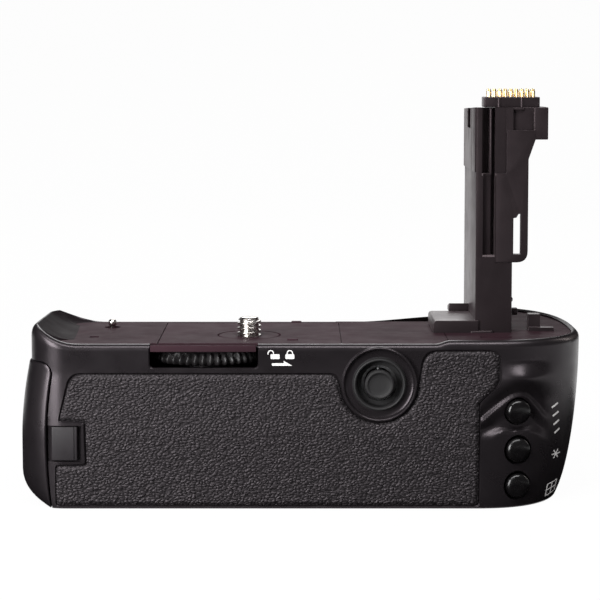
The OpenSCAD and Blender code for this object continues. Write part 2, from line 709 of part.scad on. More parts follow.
// Boards and switches
module button_board() {
  color("#1f4a33") union() {
    box([button_x - 8, board_y, 3.4], [button_x + 1.6, board_y + board_t, 29]);
    for (z = [10.4, 20]) rod_y(button_x - 4, z, 1.5, board_y + board_t - eps, chamber_y0);
  }
}
switch_top = board_y - 1;
module tact_switches() {
  color("#7d7d80") for (z = button_z)
    box([button_x - 3, switch_top, z - 1.9], [button_x + 0.8, board_y, z + 1.9]);
}
button_proud = 1.1;
module push_button(z) {
  reach = switch_top - rear_surface(button_x, z) - button_travel - 0.35;
  color("#0f0e0f") at_button(z) difference() {
    union() {
      rod_y(0, 0, button_r, 0.2 - button_proud, 2.6);
      rod_y(0, 0, button_r - 0.5, -button_proud, 2.6);
      rod_y(0, 0, 1.1, 2.5, reach);
    }
    translate([0, -button_proud - 5.6, 0]) sphere(r = 5.75);
  }
}
module upper_button() {
  push_button(button_z[0]);
}
module middle_button() {
  push_button(button_z[1]);
}
module lower_button() {
  push_button(button_z[2]);
}

// Thumb controller: knob on a stem in a gimbal ring, with a rubber boot and a bezel
gimbal_r = 5;
gimbal_half = 1.1;
gimbal_pin_r = 0.8;
tilt_room = 1.2;
module controller_base() {
  color("#3a3638") difference() {
    union() {
      box(
        [knob_x - 8, gimbal_y + gimbal_half + 0.8, knob_z - 7],
        [knob_x + 8, chamber_y0 - 0.02, knob_z + 6]
      );
      for (s = [-1, 1])
        box(
          [knob_x + s * 6.8 - 1.2, gimbal_y - 1.8, knob_z - 2],
          [knob_x + s * 6.8 + 1.2, gimbal_y + gimbal_half + 1, knob_z + 2]
        );
    }
    rod_x(gimbal_y, knob_z, gimbal_pin_r + run_gap, knob_x - 10, knob_x + 10);
  }
}
module controller_gimbal() {
  color("#8a8a90") difference() {
    union() {
      difference() {
        rod_y(knob_x, knob_z, gimbal_r, gimbal_y - gimbal_half, gimbal_y + gimbal_half);
        rod_y(knob_x, knob_z, gimbal_r - 1.4, gimbal_y - 2, gimbal_y + 2);
      }
      rod_x(gimbal_y, knob_z, gimbal_pin_r, knob_x - 7.6, knob_x - gimbal_r + 0.4);
      rod_x(gimbal_y, knob_z, gimbal_pin_r, knob_x + gimbal_r - 0.4, knob_x + 7.6);
    }
    translate([knob_x, gimbal_y, knob_z - 10]) cylinder(r = gimbal_pin_r + run_gap, h = 20);
  }
}
stem_r = 1.6;
module controller_stem() {
  color("#a8a8ac") union() {
    rod_y(knob_x, knob_z, 2.4, gimbal_y - 1, gimbal_y + 0.9);
    translate([knob_x, gimbal_y, knob_z - gimbal_r + 0.2]) cylinder(r = gimbal_pin_r, h = 2 * gimbal_r - 0.4);
    rod_y(knob_x, knob_z, stem_r, rear_y - 0.2, gimbal_y);
  }
}
knob_travel = 0.6;
module controller_knob() {
  color("#191718") difference() {
    union() {
      rod_y(knob_x, knob_z, knob_r - 0.4, rear_y - 1.4, rear_y + 1.6);
      rod_y(knob_x, knob_z, knob_r, rear_y - 1, rear_y + 1.6);
    }
    rod_y(knob_x, knob_z, stem_r + run_gap, rear_y - 0.2 - knob_travel - 0.1, rear_y + 5);
    translate([knob_x, rear_y - 9.2, knob_z]) sphere(r = 8.2);
  }
}
module controller_boot() {
  color("#141213") difference() {
    union() {
      rod_y(knob_x, knob_z, 6.8, rear_y - 0.9, rear_y + 1.4);
      rod_y(knob_x, knob_z, bezel_r - 1.8, rear_y + 0.3, rear_y + 1.4);
    }
    rod_y(knob_x, knob_z, knob_r + tilt_room, rear_y - 2, rear_y + 3);
  }
}
// Clearance under the bezel's flange, for the slight swell of the rear face
bezel_seat = 0.05;
module controller_bezel() {
  color("#2a2628") difference() {
    union() {
      rod_y(knob_x, knob_z, bezel_r, rear_y - 0.7, rear_y - bezel_seat);
      rod_y(knob_x, knob_z, bezel_r - 1.15, rear_y - 0.7, rear_y + 1.8);
    }
    rod_y(knob_x, knob_z, 6.8 + fit_gap, rear_y - 2, rear_y + 3);
    rod_y(knob_x, knob_z, bezel_r - 1.8 + 0.02, rear_y + 0.3, rear_y + 3);
  }
}

// Controls on the right front corner
function_r = 2.6;
shutter_travel = 1.5;
shutter_back = -7;
module shutter_button() {
  color("#141213") at_front(shutter_t, shutter_z) union() {
    rod_x(0, 0, shutter_r, -3.5, 0.9);
    rod_x(0, 0, shutter_r - 0.8, -3.5, 1.4);
    rod_x(0, 0, 1.6, shutter_back, -3.4);
  }
}
module shutter_collar() {
  color("#2a2628") at_front(shutter_t, shutter_z) difference() {
    rod_x(0, 0, shutter_r + 2.1, -2, 1);
    rod_x(0, 0, shutter_r + part_gap, -3, 3);
  }
}
module function_button() {
  color("#141213") at_front(function_t, function_z) union() {
    rod_x(0, 0, function_r, -3, 0.8);
    rod_x(0, 0, 1, -5.5, -2.9);
  }
}
power_travel = 3;
module power_switch() {
  color("#141213") at_front(power_t, power_z) translate([0, 0, -power_travel / 2]) union() {
    box([0.35, -2.2, -2.6], [1.8, 2.2, 2.6]);
    box([-3.4, -1.2, -2], [0.4, 1.2, 2]);
  }
}
control_back = -12;
shutter_spot = front_spot(shutter_t, shutter_z);
board_foot_x = max(chamber_x1 - 0.4, shutter_spot.x - 12.2);
shutter_a = front_angle(shutter_t, shutter_z);
board_foot_y = shutter_spot.y
  + (control_back + board_t / 2 - (board_foot_x - shutter_spot.x) * cos(shutter_a)) / sin(shutter_a);
module control_board() {
  color("#1f4a33") union() {
    at_front(shutter_t, shutter_z) {
      box([control_back, -5.5, -16], [control_back + board_t, 12, 13]);
      box([control_back + board_t - eps, -2.5, -2.5], [shutter_back - shutter_travel - 0.2, 2.5, 2.5]);
    }
    // Feet on the battery chamber
    for (z = [10, 24]) box([chamber_x1 - 5, chamber_y1, z], [board_foot_x, board_foot_y, z + 5]);
  }
}
dial_axle_r = 1.2;
module dial_bracket() {
  color("#3a3638") difference() {
    union() {
      box([chamber_x1, dial_y - 2.2, dial_z - 6], [chamber_x1 + 1.2, dial_y + dial_t + 2.2, dial_z + 6]);
      for (y = [dial_y - 2.2, dial_y + dial_t + 0.6])
        box([chamber_x1, y, dial_z - 3], [dial_x + 2.2, y + 1.6, dial_z + 3]);
    }
    rod_y(dial_x, dial_z, dial_axle_r + 0.005, dial_y - 5, dial_y + dial_t + 5);
  }
}
module dial_axle() {
  color("#a8a8ac") rod_y(dial_x, dial_z, dial_axle_r, dial_y - 2.2, dial_y + dial_t + 2.2);
}
dial_ribs = 30;
module main_dial() {
  color("#141213") translate([dial_x, dial_y + dial_t, dial_z]) rotate([90, 0, 0]) difference() {
    linear_extrude(dial_t) polygon([
      for (k = [0 : dial_ribs * 4 - 1])
        let (a = 90 * k / dial_ribs, r = dial_r - (k % 4 > 1 ? 0.5 : 0)) r * [cos(a), sin(a)]
    ]);
    translate([0, 0, -1]) cylinder(r = dial_axle_r + run_gap, h = dial_t + 2);
  }
}

// Battery tray with two bays, open at the top
module tray_frame() {
  color("#2c2a2c") difference() {
    box([tray_x0, tray_mid_y - tray_half_d, tray_z0], [tray_x1, tray_mid_y + tray_half_d, tray_z1]);
    for (k = [0, 1]) {
      x = tray_x0 + tray_wall + k * (bay_l + tray_wall);
      box(
        [x, tray_mid_y - bay_d / 2, tray_z0 + tray_floor],
        [x + bay_l, tray_mid_y + bay_d / 2, tray_z1 + 1]
      );
    }
    // Bearing of the lock spindle and holes of the end cap's screws
    rod_x(lock_y, lock_z, spindle_r + run_gap, tray_x0 - 1, tray_x0 + tray_wall + 1);
    for (y = tray_screw_y) rod_x(y, tray_screw_z, 1.02, tray_x0 - 1, tray_x0 + tray_wall + 1);
    // Slots that the chamber contacts reach through
    for (y = contact_y) box([tray_x1 - tray_wall - 1, y - 1.5, 13], [tray_x1 + 1, y + 1.5, 25]);
  }
}
tray_screw_y = [lock_y - 15, lock_y + 15];
tray_screw_z = tray_z0 + tray_floor + 2.4;

// End cap, flush with the housing and rounded below
cap_levels = concat(
  [0.2, 0.6, 1.4, 2.6, 4.5, 7, 10, 14, 19, 24], [for (d = [8.8, 4.8, 1.8, 0]) cap_h - d]
);
cap_round = 6;
function cap_end(z) =
  cap_x - 2.2 * pow(max(0, z - bulge_z) / (cap_h - bulge_z), 2)
  - (z < cap_round ? cap_round - sqrt(pow(cap_round, 2) - pow(cap_round - z, 2)) : 0);
function cap_ring(z, w, x1) =
  let (in = w + edge_in(z), l = -cap_end(z) + w, y0 = rear_y + in, y1 = front_face(seam_x, z) - in)
  let (r = min(8, (x1 - l) * 0.9))
  [for (p = concat(
    corner(l + r, y0 + r, r, r, 2.2, 180, 6), [[x1, y0], [x1, y1]], corner(l + r, y1 - r, r, r, 2.2, 90, 6)
  )) [p.x, p.y, z]];
cap_edge = seam_x - seam_gap;
module tray_end_cap() {
  color("#262225") difference() {
    union() {
      difference() {
        stack([for (z = cap_levels) cap_ring(z, 0, cap_edge)]);
        stack([for (z = [wall + 0.6, 7, 14, 24, cap_h - wall]) cap_ring(z, wall, cap_edge + 2)]);
      }
      // Cup and boss of the lock, and bosses of the two screws
      rod_x(lock_y, lock_z, lock_r + 1.8, -cap_x + 1, -cap_x + 4);
      rod_x(lock_y, lock_z, 4, -cap_x + 3.4, lock_cam_x - part_gap);
      for (y = tray_screw_y) rod_x(y, tray_screw_z, 2.6, -cap_x + 1.5, tray_x0 - 0.05);
    }
    rod_x(lock_y, lock_z, lock_r + part_gap, -cap_x - 5, -cap_x + 2.4);
    rod_x(lock_y, lock_z, spindle_r + run_gap, -cap_x - 1, seam_x + 5);
    for (y = tray_screw_y) rod_x(y, tray_screw_z, 1.02, -cap_x + 4, seam_x + 5);
    // Slot that the lock cam turns up through
    box(
      [lock_cam_x - 0.4, lock_y - 13.5, cap_h - wall - 1],
      [lock_cam_x + lock_cam_t + 0.4, lock_y + 3.5, cap_h + 1]
    );
  }
}
module tray_contacts() {
  color("#c9a24a") for (k = [0, 1]) for (y = contact_y)
    let (x = tray_x0 + tray_wall + k * (bay_l + tray_wall))
    box([x + 4, y - 1, tray_z0 + tray_floor], [x + 12, y + 1, tray_z0 + tray_floor + 0.3]);
}
module tray_screws() {
  color("#8a8a90") for (y = tray_screw_y) union() {
    rod_x(y, tray_screw_z, 1, -cap_x + 4.5, tray_x0 + tray_wall);
    rod_x(y, tray_screw_z, 2, tray_x0 + tray_wall, tray_x0 + tray_wall + 1);
  }
}
spindle_r = 2;
lock_cam_t = 1.4;
lock_cam_x = seam_x - 2.6;
keeper_gap = 0.2;
cam_reach = deck_top - deck_t - 0.5 - lock_z;
module lock_knob() {
  color("#1c1a1b") difference() {
    union() {
      rod_x(lock_y, lock_z, lock_r, -cap_x + 0.3, -cap_x + 2.2);
      rod_x(lock_y, lock_z, spindle_r, -cap_x + 2, tray_x0 + tray_wall);
    }
    // Finger hollows on both sides of the grip bar
    for (s = [-1, 1])
      box(
        [-cap_x - 1, lock_y + s * 3.6 - 2.2, lock_z - 5],
        [-cap_x + 1.5, lock_y + s * 3.6 + 2.2, lock_z + 5]
      );
  }
}
module lock_cam() {
  color("#9c9ca0") difference() {
    hull() {
      rod_x(lock_y, lock_z, 3.4, lock_cam_x, lock_cam_x + lock_cam_t);
      rod_x(lock_y - cam_reach + 1.6, lock_z, 1.6, lock_cam_x, lock_cam_x + lock_cam_t);
    }
    rod_x(lock_y, lock_z, spindle_r + 0.005, lock_cam_x - 1, lock_cam_x + 3);
  }
}
// Keeper under the deck that the lock cam turns up into
module lock_keeper() {
  color("#9c9ca0") difference() {
    box(
      [-left_x + wall + 0.1, lock_y - 11, cap_h + seam_gap + 0.3],
      [seam_x - 0.1, lock_y + 5.5, deck_top - deck_t]
    );
    box(
      [lock_cam_x - keeper_gap, lock_y - 9.5, cap_h],
      [lock_cam_x + lock_cam_t + keeper_gap, lock_y + 3, deck_top - deck_t - 0.2]
    );
  }
}

// Rubber cover of the cord hole, hinged at its left edge
flap_t = 1.5;
flap_x0 = seam_x + 0.3;
flap_x1 = -56.6;
cover_z0 = 12.6;
cover_z1 = 21.4;
hinge_x = flap_x0 + flap_t / 2;
hinge_y = rear_y + flap_t / 2;
module cord_cover() {
  color("#1d1b1c") difference() {
    union() {
      box([hinge_x, rear_y, cover_z0], [flap_x1, rear_y + flap_t, cover_z1]);
      translate([hinge_x, hinge_y, cover_z0]) cylinder(r = flap_t / 2, h = cover_z1 - cover_z0);
    }
    box([flap_x1 - 1.6, rear_y - 1, cover_z0 + 1.5], [flap_x1 - 1, rear_y + 0.5, cover_z1 - 1.5]);
  }
}

rear_shell();
front_shell();
deck_plate();
base_plate();
rear_leatherette();
front_grip_rubber();
tripod_bush();
base_screws();
battery_chamber();
chamber_contacts();
main_board();
wheel_bracket();
wheel_axle();
screw_carrier();
carrier_screws();
locating_pin();
stalk_body();
stalk_cover();
stalk_board();
stalk_foot();
stalk_clip();
stalk_screws();
connector_block();
contact_pins();
door_post();
button_board();
tact_switches();
controller_base();
controller_bezel();
controller_boot();
shutter_collar();
control_board();
dial_bracket();
dial_axle();
thumbwheel();
wheel_pinion();
attachment_screw();
screw_gear();
upper_button();
middle_button();
lower_button();
controller_gimbal();
controller_stem();
controller_knob();
shutter_button();
function_button();
power_switch();
main_dial();
tray_frame();
tray_end_cap();
tray_contacts();
tray_screws();
lock_knob();
lock_cam();
lock_keeper();
cord_cover();
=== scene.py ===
"""Looks of a camera battery grip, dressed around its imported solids.

Sizes are in millimetres until a mesh is made, in the frame of the solids: +X right, +Y to the front,
+Z up, with the origin at the mouth of the tripod socket.
"""

import math

import bmesh
import bpy
import numpy as np
from mathutils import Matrix, Vector


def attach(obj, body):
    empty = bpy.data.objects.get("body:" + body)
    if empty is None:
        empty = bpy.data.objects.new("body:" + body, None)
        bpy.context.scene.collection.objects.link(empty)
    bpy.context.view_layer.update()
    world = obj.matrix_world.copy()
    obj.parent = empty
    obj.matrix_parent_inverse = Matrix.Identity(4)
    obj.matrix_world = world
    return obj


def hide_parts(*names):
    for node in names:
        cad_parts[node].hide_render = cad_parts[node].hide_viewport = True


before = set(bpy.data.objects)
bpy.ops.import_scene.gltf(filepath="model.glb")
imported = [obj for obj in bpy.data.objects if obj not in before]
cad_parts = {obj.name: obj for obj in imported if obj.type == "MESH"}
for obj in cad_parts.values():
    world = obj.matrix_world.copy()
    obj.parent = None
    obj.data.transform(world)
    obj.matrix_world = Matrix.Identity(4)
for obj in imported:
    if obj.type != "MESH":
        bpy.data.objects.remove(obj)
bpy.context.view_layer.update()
MM = 0.001

# Housing, close to the sizes of its solids
REAR_Y = -38.0
MID_Y = -9.0
FRONT_Y = 38.0
SHALLOW_Y = 10.0
LEFT_X = 70.0
RIGHT_X = 75.0
END_START = 45.0
DECK_Z = 42.7
WALL = 2.0
LEFT_ROUND = 9.0
BASE_EDGE = 0.4
END_SLOPE = 4.6
FOOT_ROUND = 1.6
FOOT_DECAY = 5.0
REAR_POWER = 2.4
FRONT_POWER = 2.8
BULGE = 16.0
BULGE_Z = 17.0
BULGE_END = 14.0
LIP_H = 0.9
RIM_START = 57.4
RIM_RUN = 10.8
RIM_H = 4.5
FALL_X = (10.0, 60.0)
FALL_Y = 9.0
FALL_SLOPE = 0.13
SEAM_X = -65.1
BELLY_Z = 19.0
REAR_LEAN = 0.06
UPRIGHT_Z = 34.5
UPRIGHT_TURN = 1.4
LEAN_BEND = 1.5
FOOT_IN = 0.2
SEAM_MID = 18.0
SEAM_GAP = 0.3
CAP_X = 72.75
CAP_H = 37.8
TOP_ROUND = 1.6

# Places of the controls
WHEEL = (-24.5, -22.0)
WHEEL_R = 15.5
WHEEL_Z = (37.0, 40.2)
WHEEL_RIBS = 47
SLOT_X = (-38.7, -10.8)
SLOT_FOOT = 36.5
SCREW = (-13.5, -18.6)
SCREW_R = 3.175
SCREW_TOP = 47.5
DISC_R = 8.1
DISC_Z = 41.7
GUIDE = (-51.3, -3.0)
GUIDE_R = 1.15
KNOB = (20.4, 32.5)
BEZEL_R = 9.7
BUTTON_X = 56.4
BUTTON_Z = {"upper": 25.1, "middle": 15.1, "lower": 5.7}
BUTTON_R = 3.25
BUTTON_TILT = math.radians(14)
LOCK = (-5.0, 20.0)
LOCK_R = 8.0


def ease(a, b, t):
    """Smooth step from 0 at a to 1 at b."""
    u = np.clip((np.asarray(t, float) - a) / (b - a), 0, 1)
    return u * u * (3 - 2 * u)


def bump(centre, width, t):
    """Bell of height 1 at centre."""
    return np.exp(-(((np.asarray(t, float) - centre) / width) ** 2))


def right_end(z, slope=END_SLOPE, foot=FOOT_ROUND, top=DECK_Z):
    """Right end of the plan outline at height z."""
    rise = 1 - np.minimum(z, top) / top
    return RIGHT_X - slope * rise**2 - foot * np.exp(-z / FOOT_DECAY)


def edge_in(z):
    """Inset of the rounded edge along the base."""
    gap = np.clip(BASE_EDGE - z, 0, BASE_EDGE)
    return BASE_EDGE - np.sqrt(BASE_EDGE**2 - gap**2)


def front_face(x, z):
    """Front face: shallow under the camera body, bulging for the fingers, deep at the right end."""
    share = (np.minimum(z, DECK_Z) - BULGE_Z) / (DECK_Z - BULGE_Z)
    near = SHALLOW_Y + BULGE * (1 - share**4)
    return near + (FRONT_Y - near) * ease(BULGE_END, END_START, x)


def front_line(x):
    """Front edge of the deck."""
    u = np.clip((x - END_START) / (RIGHT_X - END_START), 0, 1)
    end = MID_Y + (FRONT_Y - MID_Y) * (1 - u**FRONT_POWER) ** (1 / FRONT_POWER)
    return np.where(x < END_START, front_face(x, DECK_Z), end)


def deck_fall(x, y):
    """How far the top falls away to the front, between the camera body and the right end."""
    end = FALL_X[1]
    return FALL_SLOPE * np.clip(np.asarray(y, float) - FALL_Y, 0, None) * (1 - ease(end - 10, end, x))


def top_edge(x, y):
    """Height of the shells' top edge: a lip at the right, and a rim that sweeps up to the left end."""
    x, y = np.asarray(x, float), np.asarray(y, float)
    far = ease(-32, 12, y)
    sweep = np.clip((-x - (RIM_START - 4 * far)) / (RIM_RUN + 2.5 * far), 0, 1)
    lip = LIP_H * ease(35, 38.5, x) * (1 - ease(-5, 8, y) * (1 - ease(52, 61, x)))
    return DECK_Z + lip + (RIM_H - 0.9 * far) * sweep**2 - deck_fall(x, y)


def belly(z):
    """How far the rear face leans back above its fullest height, up to an upright band along the top, and
    curves in below it."""
    z = np.asarray(z, float)
    up, over, down = (np.clip(t, 0, None) for t in (z - BELLY_Z, z - UPRIGHT_Z, BELLY_Z - z))
    lean, back = (np.sqrt(t**2 + LEAN_BEND**2) - LEAN_BEND for t in (up, over))
    return REAR_LEAN * (lean - UPRIGHT_TURN * back) + FOOT_IN * (down / BELLY_Z) ** 2


def seam(z):
    """Edge of the housing at the end cap, bowed to the left."""
    z = np.asarray(z, float)
    up, down = np.clip(z - SEAM_MID, 0, None), np.clip(SEAM_MID - z, 0, None)
    return SEAM_X + 1.3 * (up / 16) ** 2 + 1.1 * (down / SEAM_MID) ** 2


def quadrant(cx, cy, a, b, power, start, steps):
    """Points of a superellipse quadrant, from the angle start in degrees."""
    t = np.radians(start + 90 * np.arange(steps + 1) / steps)
    c, s = np.cos(t), np.sin(t)
    x = cx + a * np.sign(c) * np.abs(c) ** (2 / power)
    y = cy + b * np.sign(s) * np.abs(s) ** (2 / power)
    return np.stack([x, y], 1)


def between(a, b, steps):
    """Points on a line from a towards b, without b."""
    t = np.arange(steps)[:, None] / steps
    return np.asarray(a, float) * (1 - t) + np.asarray(b, float) * t


def evenly(path, count):
    """The same line with points at even distances."""
    run = np.concatenate([[0], np.cumsum(np.hypot(*np.diff(path, axis=0).T))])
    at = np.linspace(0, run[-1], count)
    return np.column_stack([np.interp(at, run, path[:, 0]), np.interp(at, run, path[:, 1])])


def soft_line(x, places, heights):
    """Line through points, with its corners eased."""
    return np.mean([np.interp(x + step, places, heights) for step in (-1.2, -0.6, 0, 0.6, 1.2)], axis=0)


# Meshes

def link(obj):
    """Puts an object into the scene."""
    bpy.context.scene.collection.objects.link(obj)
    return obj


def mesh_object(name, points, faces):
    """New object from points in millimetres, with its faces turned outward."""
    mesh = bpy.data.meshes.new(name)
    mesh.from_pydata((np.asarray(points, float) * MM).tolist(), [], faces)
    work = bmesh.new()
    work.from_mesh(mesh)
    bmesh.ops.remove_doubles(work, verts=work.verts, dist=1e-7)
    bmesh.ops.recalc_face_normals(work, faces=work.faces)
    work.to_mesh(mesh)
    work.free()
    return link(bpy.data.objects.new(name, mesh))


def grid_faces(rows, cols, start=0, closed=False):
    """Quads of a grid of points in row order. A closed grid joins its last column to its first."""
    at = start + np.arange(rows * cols).reshape(rows, cols)
    if closed:
        at = np.column_stack([at, at[:, 0]])
    return np.stack([at[:-1, :-1], at[:-1, 1:], at[1:, 1:], at[1:, :-1]], 2).reshape(-1, 4).tolist()


def sheet(name, outer, inner):
    """Closed sheet between two grids of points of the same size."""
    rows, cols = outer.shape[:2]
    count = rows * cols
    points = np.concatenate([outer.reshape(-1, 3), inner.reshape(-1, 3)])
    faces = grid_faces(rows, cols) + grid_faces(rows, cols, count)
    at = np.arange(count).reshape(rows, cols)
    a = np.concatenate([at[0, :-1], at[:-1, -1], at[-1, :0:-1], at[:0:-1, 0]])
    b = np.roll(a, -1)
    faces += np.stack([a, b, count + b, count + a], 1).tolist()
    return mesh_object(name, points, faces)


def stack(name, rings):
    """Closed solid through rings of points, closed by a flat face at both ends."""
    rings = np.asarray(rings, float)
    rows, cols = rings.shape[:2]
    faces = grid_faces(rows, cols, closed=True)
    faces.append(tuple(range(cols)))
    faces.append(tuple((rows - 1) * cols + j for j in range(cols)))
    return mesh_object(name, rings.reshape(-1, 3), faces)


def turned(axis):
    """Rotation that takes +Z to the axis."""
    return np.array(Vector((0, 0, 1)).rotation_difference(Vector(axis)).to_matrix())


def lathe(name, profile, origin, axis=(0, 0, 1), steps=96, ring=False, wave=None):
    """Turned piece: profile holds (radius, height) along the axis, and a ring's profile is closed.
    wave(angle, radius) returns the radius where it isn't round."""
    angles = 2 * np.pi * np.arange(steps) / steps
    rows = []
    for r, h in profile:
        radius = np.full(steps, float(r)) if wave is None else wave(angles, r)
        rows.append(np.stack([radius * np.cos(angles), radius * np.sin(angles), np.full(steps, float(h))], 1))
    if ring:
        rows.append(rows[0])
    points = np.concatenate(rows) @ turned(axis).T + np.asarray(origin, float)
    faces = grid_faces(len(rows), steps, closed=True)
    if not ring:
        for row, r in ((0, profile[0][0]), (len(rows) - 1, profile[-1][0])):
            if r > 0:
                faces.append(tuple(row * steps + j for j in range(steps)))
    return mesh_object(name, points, faces)


def arc(cx, cy, r, start, end, steps=6):
    """Points of an arc between two angles in degrees."""
    turns = [math.radians(start + (end - start) * k / steps) for k in range(steps + 1)]
    return [(cx + r * math.cos(t), cy + r * math.sin(t)) for t in turns]


def rounded(points, radii, steps=6):
    """Closed outline with its corners rounded, each by its own radius or all by one."""
    if not hasattr(radii, "__len__"):
        radii = [radii] * len(points)
    made = []
    count = len(points)
    for k, (p, r) in enumerate(zip(points, radii)):
        p = np.array(p, float)
        to_last = np.array(points[k - 1], float) - p
        to_next = np.array(points[(k + 1) % count], float) - p
        room = 0.49 * min(np.linalg.norm(to_last), np.linalg.norm(to_next))
        a = to_last / np.linalg.norm(to_last)
        b = to_next / np.linalg.norm(to_next)
        half = 0.5 * math.acos(max(-1, min(1, float(a @ b))))
        back = min(r / math.tan(half), room) if half > 1e-3 else 0
        if back < 1e-4:
            made.append(tuple(p))
            continue
        start, end = p + a * back, p + b * back
        for i in range(steps + 1):
            t = i / steps
            made.append(tuple((1 - t) ** 2 * start + 2 * t * (1 - t) * p + t**2 * end))
    return made


PLANES = {"x": (1, 2, 0), "y": (0, 2, 1), "z": (0, 1, 2)}


def prism(name, outline, axis, low, high, bevel=0.0, segments=3):
    """Outline extruded along an axis, with its end edges and sharp corners rounded by the bevel."""
    first, second, along = PLANES[axis]
    count = len(outline)
    points = np.zeros((2 * count, 3))
    for k, level in enumerate((low, high)):
        rows = slice(k * count, (k + 1) * count)
        points[rows, first] = [p[0] for p in outline]
        points[rows, second] = [p[1] for p in outline]
        points[rows, along] = level
    faces = [(k, (k + 1) % count, count + (k + 1) % count, count + k) for k in range(count)]
    faces += [tuple(range(count)), tuple(range(count, 2 * count))]
    obj = mesh_object(name, points, faces)
    if bevel:
        soften(obj, bevel, segments)
        bake(obj)
    return obj


def block(name, low, high, bevel=0.0):
    """Box between two corners with rounded edges."""
    outline = [(low[0], low[1]), (high[0], low[1]), (high[0], high[1]), (low[0], high[1])]
    return prism(name, outline, "z", low[2], high[2], bevel)


def rod(name, radius, start, end, steps=64):
    """Plain round piece between two points."""
    axis = Vector(end) - Vector(start)
    return lathe(name, [(radius, 0), (radius, axis.length)], start, axis.normalized(), steps)


SHARP_ANGLE = 35


def soften(obj, width, segments=2):
    """Rounds the sharp edges with a modifier."""
    modifier = obj.modifiers.new("soft_edges", "BEVEL")
    modifier.width = width * MM
    modifier.segments = segments
    modifier.limit_method = "ANGLE"
    modifier.angle_limit = math.radians(SHARP_ANGLE)


def bake(obj):
    """Applies an object's modifiers to its mesh."""
    graph = bpy.context.evaluated_depsgraph_get()
    mesh = bpy.data.meshes.new_from_object(obj.evaluated_get(graph))
    obj.modifiers.clear()
    old = obj.data
    obj.data = mesh
    bpy.data.meshes.remove(old)


def combine(obj, tools, operation="DIFFERENCE"):
    """Cuts, joins or intersects an object with others, which are then removed."""
    for tool in tools:
        modifier = obj.modifiers.new("cut", "BOOLEAN")
        modifier.solver = "MANIFOLD"
        modifier.operation = operation
        modifier.object = tool
        bake(obj)
        bpy.data.objects.remove(tool)


def paint(obj, material):
    """Gives an object one material."""
    obj.data.materials.clear()
    obj.data.materials.append(material)


def dress(obj, body, slot, material, *replaced, sharp=32):
    """Finishes a piece: material, smooth shading with sharp creases, its body and replaced nodes. The slot is
    not used.
    """
    paint(obj, material)
    obj.data.shade_smooth()
    obj.data.set_sharp_from_angle(angle=math.radians(sharp))
    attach(obj, body)
    if replaced:
        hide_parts(*replaced)


def keep(node, material, edge):
    """Shows a solid as it is, with its edges softened and its own material."""
    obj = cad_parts[node]
    paint(obj, material)
    weld = obj.modifiers.new("weld", "WELD")
    weld.merge_threshold = 0.002 * MM
    flat = obj.modifiers.new("flat_faces", "DECIMATE")
    flat.decimate_type = "DISSOLVE"
    flat.angle_limit = math.radians(0.5)
    soften(obj, edge)
    normals = obj.modifiers.new("normals", "WEIGHTED_NORMAL")
    normals.weight = 80


# Materials

def add_node(tree, kind, inputs=None, **settings):
    """New shader node with its settings. Each input gets a constant or a link from an output."""
    node = tree.nodes.new(kind)
    for key, value in settings.items():
        setattr(node, key, value)
    for key, value in (inputs or {}).items():
        if isinstance(value, bpy.types.NodeSocket):
            tree.links.new(value, node.inputs[key])
        else:
            node.inputs[key].default_value = value
    return node


def shade(colour, factor):
    """The colour made lighter or darker by a factor."""
    return tuple(c * factor for c in colour)


